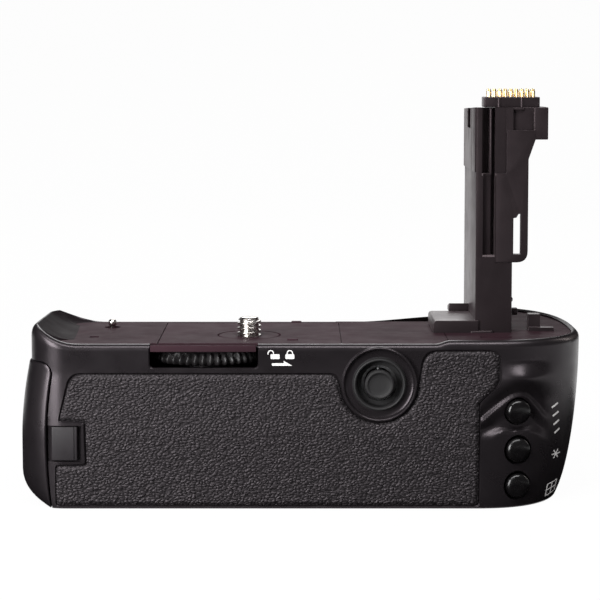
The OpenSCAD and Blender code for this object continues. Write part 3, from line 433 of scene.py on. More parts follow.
class Look:
    """One procedural material, built up from layers that read the piece's own coordinates."""

    def __init__(self, name, colour, rough, specular=0.5, metal=0.0, sheen=(1, 1, 1)):
        self.material = bpy.data.materials.new(name)
        self.material.use_nodes = True
        self.tree = self.material.node_tree
        self.shader = self.tree.nodes["Principled BSDF"]
        self.colour = colour
        self.set("Base Color", (*colour, 1))
        self.set("Roughness", rough)
        self.set("Specular IOR Level", specular)
        self.set("Metallic", metal)
        self.set("Specular Tint", (*sheen, 1))
        self.set("Sheen Tint", (*sheen, 1))
        self.place = add_node(self.tree, "ShaderNodeTexCoord").outputs["Object"]
        self.bump_end = None

    def set(self, name, value):
        """Gives one of the shader's inputs a constant value."""
        self.shader.inputs[name].default_value = value

    def link(self, a, b):
        """Joins an output to an input."""
        self.tree.links.new(a, b)

    def noise(self, size, detail=3.0, stretch=(1, 1, 1)):
        """Noise with features of about that size in millimetres."""
        vector = self.place
        if stretch != (1, 1, 1):
            scale = add_node(self.tree, "ShaderNodeVectorMath", {0: vector, 1: stretch}, operation="MULTIPLY")
            vector = scale.outputs[0]
        inputs = {"Vector": vector, "Scale": 1 / (size * MM), "Detail": detail}
        return add_node(self.tree, "ShaderNodeTexNoise", inputs).outputs["Fac"]

    def cells(self, size):
        """Voronoi distance with cells of about that size in millimetres."""
        inputs = {"Vector": self.place, "Scale": 1 / (size * MM)}
        return add_node(self.tree, "ShaderNodeTexVoronoi", inputs).outputs["Distance"]

    def span(self, value, low, high, to_low, to_high):
        """Maps a value from one range to another, within limits."""
        inputs = {0: value, 1: low, 2: high, 3: to_low, 4: to_high}
        return add_node(self.tree, "ShaderNodeMapRange", inputs).outputs[0]

    def tint(self, value, other):
        """Mixes the base colour towards another one by a value."""
        socket = self.shader.inputs["Base Color"]
        base = socket.links[0].from_socket if socket.is_linked else (*self.colour, 1)
        mix = add_node(self.tree, "ShaderNodeMix", {0: value, 6: base, 7: (*other, 1)}, data_type="RGBA")
        self.link(mix.outputs[2], socket)

    def cloud(self, size, low, high, other, detail=3):
        """Patches of another colour, of about that size in millimetres."""
        self.tint(self.span(self.noise(size, detail), low, high, 0, 1), other)

    def roughen(self, value, low, high):
        """Roughness that follows a value."""
        self.link(self.span(value, 0.3, 0.7, low, high), self.shader.inputs["Roughness"])

    def relief(self, value, depth):
        """Adds fine relief, with its depth in millimetres."""
        inputs = {"Height": value, "Strength": 1.0, "Distance": depth * MM}
        if self.bump_end is not None:
            inputs["Normal"] = self.bump_end
        self.bump_end = add_node(self.tree, "ShaderNodeBump", inputs).outputs["Normal"]
        self.link(self.bump_end, self.shader.inputs["Normal"])

    def edges(self, other):
        """Lighter, worn edges where the surface is convex."""
        geometry = add_node(self.tree, "ShaderNodeNewGeometry")
        self.tint(self.span(geometry.outputs["Pointiness"], 0.52, 0.62, 0.0, 0.7), other)


def moulded(name, colour, rough, specular, sheen, grain=0.35, depth=0.02, worn=1.6, bloom=0.0):
    """Moulded plastic with a fine spark texture, cloudy gloss and slightly lighter edges.
    Bloom is the tinted haze that a matt surface shows at a low angle."""
    look = Look(name, colour, rough, specular, sheen=sheen)
    look.set("Sheen Weight", bloom)
    look.set("Sheen Roughness", 0.5)
    look.cloud(14, 0.3, 0.7, shade(colour, 1.25), 2)
    look.edges(shade(colour, worn))
    look.roughen(look.noise(5, 4), rough - 0.04, rough + 0.05)
    look.relief(look.noise(grain, 2), depth)
    return look.material


def rubber(name, colour, rough=0.62):
    """Soft matte rubber with dust-fine grain."""
    look = Look(name, colour, rough, 0.35)
    look.cloud(6, 0.3, 0.7, shade(colour, 1.35))
    look.roughen(look.noise(2.5, 3), rough - 0.06, rough + 0.08)
    look.relief(look.noise(0.22, 2), 0.018)
    return look.material


def leather(name, colour):
    """Leather-grain rubber: shinier pebble tops and fine pores, with painted shade in the creases and painted
    light on the pebble tops.
    """
    look = Look(name, colour, 0.4, 0.32, sheen=(1, 0.9, 0.96))
    height = add_node(look.tree, "ShaderNodeAttribute", attribute_name="grain").outputs["Fac"]
    # Painted shade and light: the base colour runs from dark in the creases to 4.3 times lighter on the
    # pebble tops, by grain height.
    look.tint(look.span(height, 0.2, 0.9, 0, 1), shade(colour, 4.3))
    look.link(look.span(height, 0.2, 1.0, 0.6, 0.38), look.shader.inputs["Roughness"])
    look.relief(look.noise(0.3, 3), 0.035)
    look.relief(look.cells(0.6), 0.03)
    return look.material


def metal(name, colour, rough, streak=(1, 1, 1)):
    """Plated metal with fine turning marks and small stains."""
    look = Look(name, colour, rough, 0.5, 1.0)
    look.cloud(1.8, 0.45, 0.75, shade(colour, 0.72), 4)
    look.roughen(look.noise(0.9, 4, streak), rough - 0.06, rough + 0.12)
    look.relief(look.noise(0.12, 2, streak), 0.004)
    return look.material


def polished(name, colour):
    """Polished button plastic with faint finger haze."""
    look = Look(name, colour, 0.2, 0.4)
    look.cloud(2, 0.35, 0.7, shade(colour, 1.6))
    look.roughen(look.noise(1.6, 4), 0.14, 0.3)
    look.relief(look.noise(0.4, 2), 0.004)
    return look.material


def solder_mask(name):
    """Circuit board with lighter copper tracks under the mask."""
    look = Look(name, (0.01, 0.07, 0.035), 0.35, 0.5)
    inputs = {"Vector": look.place, "Scale": 160.0, "Mortar Size": 0.06}
    tracks = add_node(look.tree, "ShaderNodeTexBrick", inputs)
    look.tint(tracks.outputs["Fac"], (0.03, 0.16, 0.07))
    look.roughen(look.noise(1.2, 3), 0.3, 0.45)
    return look.material


def print_ink(name):
    """White pad-printed ink, slightly uneven."""
    look = Look(name, (0.72, 0.71, 0.7), 0.55, 0.3)
    look.cloud(0.5, 0.35, 0.7, (0.55, 0.54, 0.54))
    look.relief(look.noise(0.2, 2), 0.01)
    return look.material


MAUVE = (1, 0.88, 0.95)
WARM = (1, 0.8, 0.85)
SHELL = moulded("shell_plastic", (0.0065, 0.0055, 0.0062), 0.3, 0.4, MAUVE, 0.35, 0.006)
# Painted shade: a darker, nearly matt plastic beside the deck's, so that the bowl inside the left rim reads
# as shaded.
SHADED_RIM = moulded("shaded_rim_plastic", (0.009, 0.0066, 0.0076), 0.62, 0.03, MAUVE, 0.35, 0.02)
DECK = moulded("deck_plastic", (0.024, 0.0125, 0.016), 0.55, 0.018, WARM, 0.3, 0.012)
STALK = moulded("stalk_plastic", (0.0085, 0.0065, 0.0072), 0.36, 0.3, WARM, 0.3, 0.008, 1.6, 0.05)
INNER = moulded("inner_plastic", (0.03, 0.028, 0.03), 0.5, 0.4, MAUVE)
BEZEL = moulded("bezel_plastic", (0.008, 0.0068, 0.0076), 0.28, 0.35, MAUVE, 0.3, 0.006, 2.4)
LEATHER = leather("leatherette", (0.005, 0.0044, 0.0048))
KNOB_RUBBER = rubber("knob_rubber", (0.009, 0.0085, 0.009))
WHEEL_RUBBER = rubber("wheel_rubber", (0.007, 0.0062, 0.0066), 0.4)
COVER_RUBBER = rubber("cover_rubber", (0.011, 0.0088, 0.0105), 0.52)
GLOSS = polished("button_plastic", (0.0025, 0.0022, 0.0024))
STEEL = metal("steel", (0.5, 0.5, 0.51), 0.34, (1, 1, 4))
NICKEL = metal("screw_steel", (0.72, 0.69, 0.66), 0.2, (1, 1, 6))
GOLD = metal("gold", (0.87, 0.66, 0.34), 0.24)
BRASS = metal("brass_gear", (0.66, 0.52, 0.28), 0.3)
BOARD = solder_mask("board")
INK = print_ink("print_ink")


# Camera, floor and light

def make_camera():
    """Camera behind and above the object, looking slightly down, for a square picture."""
    data = bpy.data.cameras.new("camera")
    data.sensor_width = 36.0
    data.lens = 119.28
    data.shift_y = -0.0985
    camera = link(bpy.data.objects.new("camera", data))
    camera.location = (0.0, -0.5431, 0.11387)
    camera.rotation_euler = (math.radians(84.977), 0, 0)
    bpy.context.scene.camera = camera


def seen_rays(tree):
    """1 for rays from the camera and for mirrored and refracted ones, 0 for the rest."""
    path = add_node(tree, "ShaderNodeLightPath").outputs
    seen = path["Is Camera Ray"]
    for kind in ("Is Glossy Ray", "Is Transmission Ray"):
        seen = add_node(tree, "ShaderNodeMath", {0: seen, 1: path[kind]}, operation="MAXIMUM").outputs[0]
    return seen


def sweep_material():
    """White paper that shows as white and still takes the object's shadow, and throws little light back."""
    material = bpy.data.materials.new("paper")
    material.use_nodes = True
    tree = material.node_tree
    tree.nodes.clear()
    dim = add_node(tree, "ShaderNodeBsdfDiffuse", {"Color": (0.3, 0.3, 0.3, 1)})
    paper = add_node(tree, "ShaderNodeBsdfDiffuse", {"Color": (0.82, 0.82, 0.82, 1)})
    glow = add_node(tree, "ShaderNodeEmission", {"Color": (1, 1, 1, 1), "Strength": 1.0})
    shaded = {0: 0.97, 1: paper.outputs[0], 2: glow.outputs[0]}
    shaded = add_node(tree, "ShaderNodeMixShader", shaded).outputs[0]
    choice = {0: seen_rays(tree), 1: dim.outputs[0], 2: shaded}
    choice = add_node(tree, "ShaderNodeMixShader", choice).outputs[0]
    add_node(tree, "ShaderNodeOutputMaterial", {"Surface": choice})
    return material


def make_stage():
    """Pale paper sweep under and behind the object."""
    half, near, far, bend, height = 2500.0, -2500.0, 1500.0, 500.0, 2500.0
    line = [(near, 0.0), (0.0, 0.0)]
    line += arc(far - bend, bend, bend, -90, 0, 12)
    line += [(far, height)]
    points = [(x, y, z) for y, z in line for x in (-half, half)]
    sweep = mesh_object("sweep", points, grid_faces(len(line), 2))
    sweep.data.materials.append(sweep_material())
    sweep.data.shade_smooth()


def area_light(name, place, target, size, power, colour=(1, 1, 1)):
    """Rectangular lamp that looks at a target."""
    data = bpy.data.lights.new(name, "AREA")
    data.shape = "RECTANGLE"
    data.size, data.size_y = size
    data.energy = power
    data.color = colour
    lamp = link(bpy.data.objects.new(name, data))
    lamp.location = place
    lamp.rotation_euler = (Vector(target) - Vector(place)).to_track_quat("-Z", "Y").to_euler()


def make_light():
    """Soft lamps above, to the left, to the right and in front, and an even room."""
    world = bpy.data.worlds.new("room")
    bpy.context.scene.world = world
    world.use_nodes = True
    room = world.node_tree.nodes["Background"]
    room.inputs["Color"].default_value = (1, 0.97, 0.98, 1)
    room.inputs["Strength"].default_value = 0.12
    middle = (0, 0, 0.03)
    area_light("top_light", (0.05, -0.5, 0.95), middle, (1.1, 0.3), 11.0)
    area_light("left_light", (-0.34, -0.42, 0.175), middle, (0.29, 0.35), 4.9)
    area_light("right_light", (0.9, 0.55, 0.5), middle, (0.3, 0.5), 2.0, (1, 0.9, 0.86))
    area_light("front_light", (-0.2, 0.95, 0.7), middle, (0.9, 0.5), 4.5)


def make_cards():
    """Dark cards beside and before the object, which only its reflections show. The floor card is painted
    shadow: a dark floor in the reflections, where the object shades the floor.
    """
    material = Look("card", (0.012, 0.011, 0.012), 1.0, 0.0).material
    cards = {
        "left_card": [(-340, 0, 0), (-340, 1400, 0), (-340, 1400, 900), (-340, 0, 900)],
        "right_card": [(340, 150, 0), (340, 1400, 0), (340, 1400, 900), (340, 150, 900)],
        # Painted shadow: dark floor that only reflections show, standing for the floor in the object's
        # shadow.
        "floor_shadow_card": [(-900, -900, 0.4), (190, -900, 0.4), (190, 100, 0.4), (-900, 100, 0.4)],
    }
    for name, corners in cards.items():
        card = mesh_object(name, corners, [(0, 1, 2, 3)])
        card.data.materials.append(material)
        for ray in ("camera", "diffuse", "shadow", "transmission"):
            setattr(card, "visible_" + ray, False)


bpy.context.scene.view_settings.view_transform = "Standard"
make_camera()
make_stage()
make_light()
make_cards()


# Shells

RIDGE_X = 57.6
RIDGE_W = 6.2
RIDGE_H = 2.4
RIDGE_TOP = 38.0
DIP = 1.1
CREASE_X = (44.0, 46.0, 50.0, 53.5, 55.0, 57.0, 58.5, 59.8, 61.0, 64.0)
CREASE_Z = (20.9, 22.6, 26.0, 28.6, 29.5, 29.9, 29.5, 28.5, 27.0, 23.0)
LEDGE_X = (44.0, 50.0, 51.5, 55.7, 59.8, 62.0, 66.0)
LEDGE_Z = (19.6, 19.8, 20.7, 20.3, 20.9, 19.8, 17.5)
LEDGE_HALF = (1.7, 1.7, 0.6, 0.55, 0.6, 1.5, 3.0)


def thumb_rest(x, z):
    """How far the rear face stands out at the thumb ridge, and sinks round the upper button."""
    fall = np.clip((RIDGE_TOP - np.asarray(z, float)) / 3.8, 0, 1)
    slope = 0.65 * fall + 0.35 * ease(0, 1, fall)
    ridge = RIDGE_H * bump(RIDGE_X, RIDGE_W, x) * slope * ease(27, 34, z)
    crease = soft_line(x, CREASE_X, CREASE_Z)
    ledge = soft_line(x, LEDGE_X, LEDGE_Z)
    half = soft_line(x, LEDGE_X, LEDGE_HALF)
    over = ease(-0.8, 0.8, z - crease)
    above_ledge = ease(ledge - half, ledge + half, z)
    groove = -DIP * (1 - ease(0, 4.5, z - crease))
    deep = DIP + 0.5 * (1 - ease(49, 53, x))
    floor = -0.05 - deep * ease(0, 5, crease - z)
    spread = ease(45.6, 47.0, x) * (1 - ease(59, 66, x))
    return ridge + spread * (groove * over + floor * (1 - over) * above_ledge)


def rear_depth(x, z):
    """How far the plain rear face lies behind the housing's middle, as it rounds in at the right end."""
    u = np.clip((x - END_START) / (right_end(z) - END_START), 0, 1)
    return (MID_Y - REAR_Y) * (1 - u**REAR_POWER) ** (1 / REAR_POWER)


def rear_surface(x, z):
    """Rear face of the housing."""
    depth = rear_depth(x, z)
    return MID_Y - depth - thumb_rest(x, z) + belly(z) * depth / (MID_Y - REAR_Y)


def rear_path(z, inset):
    """Plan outline of the rear half, from the left end to the right end."""
    w = inset + edge_in(z)
    left, low, r = w - LEFT_X, REAR_Y + w, LEFT_ROUND - inset
    reach = right_end(z) - w - END_START
    path = np.concatenate([
        between((left, MID_Y), (left, low + r), 10),
        quadrant(left + r, low + r, r, r, 2, 180, 14)[:-1],
        between((left + r, low), (END_START, low), 110),
        evenly(quadrant(END_START, MID_Y, reach, MID_Y - low, REAR_POWER, 270, 500), 180),
    ])
    share = np.clip((MID_Y - path[:, 1]) / (MID_Y - REAR_Y), 0, 1)
    path[:, 1] += belly(z) * share - thumb_rest(path[:, 0], z)
    return path


def front_path(z, inset):
    """Plan outline of the front half, from the right end to the left end."""
    w = inset + edge_in(z)
    left, r = w - LEFT_X, LEFT_ROUND - inset
    reach = right_end(z) - w - END_START
    x = np.linspace(END_START, left + r, 130)[1:-1]
    high = front_face(left, z) - w
    return np.concatenate([
        quadrant(END_START, MID_Y, reach, FRONT_Y - w - MID_Y, FRONT_POWER, 0, 90),
        np.stack([x, front_face(x, z) - w], 1),
        quadrant(left + r, high - r, r, r, 2, 90, 14),
        between((left, high - r), (left, MID_Y), 10)[1:],
        [[left, MID_Y]],
    ])


BAND_Z = 38.0


def wall_rows():
    """Heights of the wall's rows, with the inset that rounds the top edge."""
    rows = [(BASE_EDGE * (1 - math.cos(t)), 0.0) for t in np.linspace(0, math.pi / 2, 7)]
    rows += [(z, 0.0) for z in np.arange(1.7, DECK_Z - TOP_ROUND - 0.2, 0.45)]
    for t in np.linspace(0, math.pi / 2, 7):
        rows.append((DECK_Z - TOP_ROUND * (1 - math.sin(t)), TOP_ROUND * (1 - math.cos(t))))
    return rows


def wall_grid(path, inner):
    """Grid of points over the outer or the inner face of a shell."""
    grid = []
    for z, roll in wall_rows():
        line = path(z, WALL if inner else roll)
        lift = max(0.0, (z - BAND_Z) / (DECK_Z - BAND_Z))
        height = z + lift * (top_edge(line[:, 0], line[:, 1]) - DECK_Z) * (0.5 if inner else 1.0)
        grid.append(np.column_stack([line, height]))
    return np.array(grid)


MOUTH_ROUND = 3.4


def seam_outline(gap, corner, low, high):
    """Outline in X and Z of all that lies left of the seam, with a rounded upper corner."""
    line = [(float(seam(z)) - gap, z) for z in np.linspace(low, high - corner, 24)]
    x = line[-1][0] - corner
    return [(-90, low)] + line[:-1] + arc(x, high - corner, corner, 0, 90, 10) + [(-90, high)]


def mouth_cutter(low_y, high_y):
    """Mouth that the end cap of the battery tray fills."""
    return prism("mouth", seam_outline(0, MOUTH_ROUND, -2, CAP_H + SEAM_GAP), "y", low_y, high_y)


LEATHER_PROUD = 0.35
LEATHER_BACK = REAR_Y + 1.9
LEATHER_HOLE = 10.25


def leather_outline(grow=0.0):
    """Outline of the rear leatherette in X and Z, with a round bay for the controller and a step for the
    cord cover."""
    g = grow
    bay = arc(KNOB[0], KNOB[1], LEATHER_HOLE - g, 195, 350, 40)
    corners = [
        (-58.9 - g, 34.8 + g, 4), (9.3 + g, 34.8 + g, 3), *((x, z, 0) for x, z in bay),
        (32.3 - g, 40.8 + g, 4.5), (51.7 + g, 40.8 + g, 3.2), (51.2 + g, 32.4, 4), (46 + g, 27.4, 2.5),
        (46 + g, 1 - g, 1.2), (-62.8 - g, 1 - g, 1.2), (-62.8 - g, 11 + g, 0.8),
        (-54.9 - g, 11.2 + g, 0.8), (-55.2 - g, 22.7 - g, 0.8), (-62 - g, 23 - g, 1),
    ]
    return rounded([(x, z) for x, z, r in corners], [r for x, z, r in corners], 8)


MOUTH_FLARE = 0.35


def soft_cutter(name, outline, deep):
    """Cutter into the rear face, which follows its lean, with a flared mouth. outline(grow) gives its
    outline in X and Z."""
    levels = [(-6, MOUTH_FLARE), (-0.1, MOUTH_FLARE), (MOUTH_FLARE, 0.0), (deep, 0.0)]
    return stack(name, [
        [(x, REAR_Y + depth + float(belly(z)), z) for x, z in outline(grow)] for depth, grow in levels
    ])


def pocket_outline(grow):
    """Seat of the leatherette."""
    return leather_outline(0.28 + grow)


def slot_outline(grow):
    """Opening of the thumbwheel, up to the deck."""
    x0, x1, z0, z1 = SLOT_X[0] - grow, SLOT_X[1] + grow, SLOT_FOOT - grow, DECK_Z + 2.3
    return rounded([(x0, z0), (x1, z0), (x1, z1), (x0, z1)], [1.2, 1.2, 0, 0])


def well_axis():
    """Outward direction of the push buttons."""
    return (math.sin(BUTTON_TILT), -math.cos(BUTTON_TILT), 0.0)


def button_spot(z):
    """Foot of a push button, on the plain rear face."""
    return (BUTTON_X, MID_Y - float(rear_depth(BUTTON_X, z)), z)


def along(origin, axis, distance):
    """Point at a distance along an axis."""
    return tuple(o + a * distance for o, a in zip(origin, axis))


def well_cutter(z):
    """Round well of a push button with a soft mouth."""
    spot, axis = button_spot(z), well_axis()
    r = BUTTON_R + 0.3
    profile = [(r + 2.6, 3.0), (r + 1.0, 0.7), (r + 0.45, 0.1), (r + 0.14, -0.35), (r, -0.9), (r, -9.0)]
    return lathe("well", profile[::-1], spot, axis, 72)


CORD_COVER_X = (-64.3, -56.6)
CORD_COVER_Z = (12.6, 21.4)
CORD_COVER_T = 1.5
FLAP_HINGE_X = -63.55


def rear_shell():
    """Rear half of the housing with its slot, wells and seats."""
    shell = sheet("rear_housing", wall_grid(rear_path, False), wall_grid(rear_path, True))
    (x0, x1), (z0, z1) = CORD_COVER_X, CORD_COVER_Z
    seat_low = (SEAM_X - 1, REAR_Y - 5, z0 - 0.3)
    seat_high = (x1 + 0.3, REAR_Y + CORD_COVER_T + 0.2, z1 + 0.3)
    tools = [
        mouth_cutter(REAR_Y - 5, MID_Y + 1),
        soft_cutter("pocket", pocket_outline, 0.7),
        soft_cutter("slot", slot_outline, 4),
        rod("controller_hole", BEZEL_R - 1.1, (KNOB[0], REAR_Y - 5, KNOB[1]), (KNOB[0], REAR_Y + 5, KNOB[1])),
        block("cover_seat", seat_low, seat_high),
        block("cord_hole", (x0 + 2.4, REAR_Y - 5, z0 + 2), (x1 - 1.6, REAR_Y + 5, z1 - 2)),
    ]
    tools += [well_cutter(z) for z in BUTTON_Z.values()]
    combine(shell, tools)
    dress(shell, "housing", "shell_plastic", SHELL, "rear_shell", sharp=28)


# The right end of the solids, which carry the controls of the right front corner
SOLID_SLOPE = 5.0
SOLID_FOOT = 2.0
SOLID_TOP = 42.3


def corner_spot(degrees, z):
    """Spot on the right front corner of the solids, by its parameter angle, and its outward angle."""
    c, s = math.cos(math.radians(degrees)), math.sin(math.radians(degrees))
    a, b = right_end(z, SOLID_SLOPE, SOLID_FOOT, SOLID_TOP) - END_START, FRONT_Y - MID_Y
    power = 2 / FRONT_POWER
    outward = math.atan2(s ** (2 - power) / b, c ** (2 - power) / a)
    return (END_START + a * c**power, MID_Y + b * s**power, z), math.degrees(outward)


SHUTTER = corner_spot(45, 22.0)
FUNCTION = corner_spot(64, 29.0)
POWER = corner_spot(60, 12.0)
DIAL = (65.3, 9.25, 22.0)
DIAL_R = 7.0
DIAL_T = 6.5


def heading(degrees):
    """Horizontal direction at that angle from +X."""
    return (math.cos(math.radians(degrees)), math.sin(math.radians(degrees)), 0.0)


def turned_block(name, low, high, spot, degrees):
    """Box in the frame of a control on the right front corner, +X outward."""
    obj = block(name, low, high)
    spot = Vector(spot) * MM
    obj.data.transform(Matrix.Translation(spot) @ Matrix.Rotation(math.radians(degrees), 4, "Z"))
    return obj


def front_shell():
    """Front half of the housing with the openings of its controls."""
    shell = sheet("front_housing", wall_grid(front_path, False), wall_grid(front_path, True))
    tools = [mouth_cutter(MID_Y - 1, FRONT_Y + 5)]
    for (spot, degrees), r in ((SHUTTER, 7.6), (FUNCTION, 2.9)):
        out = heading(degrees)
        tools.append(rod("hole", r, along(spot, out, 6), along(spot, out, -9)))
    tools.append(turned_block("power_slot", (-9, -1.5, -4.5), (5, 1.5, 4.5), *POWER))
    tools.append(block(
        "dial_slot",
        (DIAL[0], DIAL[1] - DIAL_T / 2 - 0.5, DIAL[2] - DIAL_R - 0.6),
        (RIGHT_X + 5, DIAL[1] + DIAL_T / 2 + 0.5, DIAL[2] + DIAL_R + 0.6),
    ))
    combine(shell, tools)
    dress(shell, "housing", "shell_plastic", SHELL, "front_shell", sharp=28)


# Grained coverings

CELL = 0.66
CELL_STRETCH = 1.7


def pebble(x, z, seed):
    """Leather grain from 0 in the creases to 1 on the pebbles, by the two nearest of scattered points."""
    u, v = x / (CELL * CELL_STRETCH), z / CELL
    u = u + 0.45 * np.sin(0.9 * v + 0.9 * np.sin(0.37 * u)) + 0.2 * np.sin(2.3 * v + 1.1 * u)
    v = v + 0.4 * np.sin(0.8 * u + 0.7 * np.sin(0.43 * v)) + 0.2 * np.sin(2.1 * u - 0.9 * v)
    size = 240
    scatter = np.random.default_rng(seed).random((size, size, 2))
    iu, iv = np.floor(u).astype(int), np.floor(v).astype(int)
    nearest = np.full(u.shape, 9.0)
    second = np.full(u.shape, 9.0)
    level = np.zeros(u.shape)
    for du in (-1, 0, 1):
        for dv in (-1, 0, 1):
            a, b = (iu + du) % size, (iv + dv) % size
            px = iu + du + scatter[a, b, 0]
            pz = iv + dv + scatter[a, b, 1]
            d = np.hypot(u - px, v - pz)
            closer = d < nearest
            second = np.where(closer, nearest, np.minimum(second, d))
            level = np.where(closer, scatter[b, a, 0], level)
            nearest = np.where(closer, d, nearest)
    ridge = ease(0.0, 0.38, second - nearest)
    return ridge * (0.5 + 0.5 * level)


def outline_distance(outline, x, z):
    """Distance of points from a closed outline, positive inside."""
    best = np.full(x.shape, 1e9)
    inside = np.zeros(x.shape, bool)
    for (ax, az), (bx, bz) in zip(outline, outline[1:] + outline[:1]):
        dx, dz = bx - ax, bz - az
        size = dx * dx + dz * dz
        if size < 1e-12:
            continue
        t = np.clip(((x - ax) * dx + (z - az) * dz) / size, 0, 1)
        best = np.minimum(best, np.hypot(x - ax - t * dx, z - az - t * dz))
        if dz != 0:
            crossing = (az > z) != (bz > z)
            inside ^= crossing & (x < ax + dx * (z - az) / dz)
    return np.where(inside, best, -best)


GRAIN_DEPTH = 0.33


def store_grain(obj, seed):
    """Keeps the grain height of each point for the material."""
    count = len(obj.data.vertices)
    co = np.zeros(count * 3, np.float32)
    obj.data.vertices.foreach_get("co", co)
    co = co.reshape(-1, 3) / MM
    values = pebble(co[:, 0], co[:, 2], seed).astype(np.float32)
    obj.data.attributes.new("grain", "FLOAT", "POINT").data.foreach_set("value", values)


def grained_panel(name, outline, x, z, face, back, roll, cut_y, seed):
    """Pebbled panel over a grid of places, cut to an outline in X and Z between two depths. face and back
    hold its own depth, and roll says how far its edge rolls back and over which width."""
    drop, width = roll
    sunk = drop * (1 - ease(-0.1, width, outline_distance(outline, x, z))) ** 1.5
    sunk = sunk + GRAIN_DEPTH * (1 - pebble(x, z, seed))
    outer = np.stack([x, face - np.sign(face - back) * sunk, z], 2)
    panel = sheet(name, outer, np.stack([x, back, z], 2))
    combine(panel, [prism("panel_edge", outline, "y", *cut_y)], "INTERSECT")
    store_grain(panel, seed)
    return panel


LEATHER_STEP = 0.18
LEATHER_ROLL = (0.5, 1.1)


def rear_leatherette():
    """Pebbled panel on the rear face, with edges that roll into its seat."""
    x, z = np.meshgrid(np.arange(-63.6, 52.6, LEATHER_STEP), np.arange(0.4, 41.6, LEATHER_STEP))
    face = MID_Y - rear_depth(x, z) - LEATHER_PROUD + belly(z)
    back, cut_y = np.full(x.shape, LEATHER_BACK + 0.5), (REAR_Y - 3, LEATHER_BACK - 0.02)
    panel = grained_panel("rear_leather_panel", leather_outline(), x, z, face, back, LEATHER_ROLL, cut_y, 7)
    dress(panel, "housing", "leatherette", LEATHER, "rear_leatherette", sharp=60)


RUBBER_X = (-54.3, 31.7)
RUBBER_Z = (3.7, 32.9)
RUBBER_SEAT = 0.05
RUBBER_T = 1.0
RUBBER_STEP = 0.34
RUBBER_ROLL = (0.75, 1.3)


def front_rubber():
    """Pebbled rubber over the finger bulge."""
    (x0, x1), (z0, z1) = RUBBER_X, RUBBER_Z
    outline = rounded([(x0, z0), (x1, z0), (x1, z1), (x0, z1)], 6, 10)
    x, z = np.meshgrid(*(np.arange(a - 0.6, b + 0.6, RUBBER_STEP) for a, b in (RUBBER_X, RUBBER_Z)))
    back, cut_y = front_face(x, z) + RUBBER_SEAT, (-20, FRONT_Y + 10)
    face = back + RUBBER_T
    panel = grained_panel("front_rubber_panel", outline, x, z, face, back, RUBBER_ROLL, cut_y, 11)
    dress(panel, "housing", "leatherette", LEATHER, "front_grip_rubber", sharp=60)


# Deck and left rim

PANEL_X = (-36.7, 10.7)
PANEL_Y = (-35.6, 5.5)
GROOVE = 0.26
DECK_FLOOR = DECK_Z - 0.6


def deck():
    """Top plate with the seams of its panel, and the recesses for the screw, pin and stalk."""
    z = DECK_Z
    line = np.concatenate([rear_path(z, TOP_ROUND)[:-1], front_path(z, TOP_ROUND)[:-1]])
    plate = prism("deck_cover", [tuple(p) for p in line], "z", DECK_FLOOR, z + 0.02)
    (x0, x1), (y0, y1) = PANEL_X, PANEL_Y
    half = GROOVE / 2

    def groove(ax, ay, bx, by, deep=0.35):
        """Straight seam cut into the deck."""
        low = (min(ax, bx) - half, min(ay, by) - half, z - deep)
        return block("groove", low, (max(ax, bx) + half, max(ay, by) + half, z + 1))

    screw_hole = [(DISC_R + 0.12, -3), (DISC_R + 0.12, -0.3), (DISC_R + 0.42, 0), (DISC_R + 0.42, 2)]
    pin_hole = [(GUIDE_R + 0.9, -0.45), (GUIDE_R + 0.9, -0.2), (GUIDE_R + 1.1, 0.0), (GUIDE_R + 1.1, 2)]
    tools = [
        lathe("screw_hole", screw_hole, (*SCREW, z)),
        lathe("pin_hole", pin_hole, (*GUIDE, z)),
        groove(x0, y0, x0, y1),
        groove(x0, y1, x1, y1),
        groove(x1, y0, x1, y1),
        groove(46, -10.6, 72.0, -10.6, 0.25),
        groove(62, 14.3, 72.6, 14.3, 0.25),
        groove(38.6, -30, 38.6, 27, 0.25),
        block("front_gap", (FALL_X[0], FALL_Y, z - 2), (FALL_X[1], FRONT_Y, z + 1)),
        block("bar_gap", (SLOT_X[0] - 0.3, REAR_Y - 1, z - 2), (SLOT_X[1] + 0.3, REAR_Y + 3.1, z + 1)),
        block("small_slot", (-55.5, -24.0, z - 0.45), (-53.1, -21.6, z + 1)),
        block("long_slot", (47.5, -24.6, z - 0.45), (55.9, -22.2, z + 1)),
    ]
    combine(plate, tools)
    dress(plate, "housing", "deck_plastic", DECK, "deck_plate", sharp=30)
    x, t = np.meshgrid(np.linspace(*FALL_X, 90), np.linspace(0, 1, 24))
    y = FALL_Y + t * np.maximum(front_line(x) - TOP_ROUND - FALL_Y, 0.02)
    top = np.stack([x, y, z + 0.02 - deck_fall(x, y)], 2)
    front = sheet("deck_front", top, top - np.array([0, 0, 1.0]))
    dress(front, "housing", "deck_plastic", DECK, sharp=40)
    for name, x, y in (("near_clip", -1.9, -28.6), ("far_clip", -1.0, 7.4)):
        clip = block(name, (x - 1.4, y - 0.7, z - 0.2), (x + 1.4, y + 0.7, z + 0.35), 0.18)
        dress(clip, "housing", "deck_plastic", DECK)


def slot_bar():
    """Edge of the deck turned down over the thumbwheel."""
    y = REAR_Y + float(belly(42)) + 0.1
    section = rounded([(y, 40.75), (y + 1.1, 40.75), (y + 1.1, 42.4), (y, 42.4)], [0.15, 0, 0.2, 0.6])
    bar = prism("slot_bar", section, "x", SLOT_X[0] + 0.2, SLOT_X[1] - 0.5, 0.1, 2)
    dress(bar, "housing", "deck_plastic", DECK)


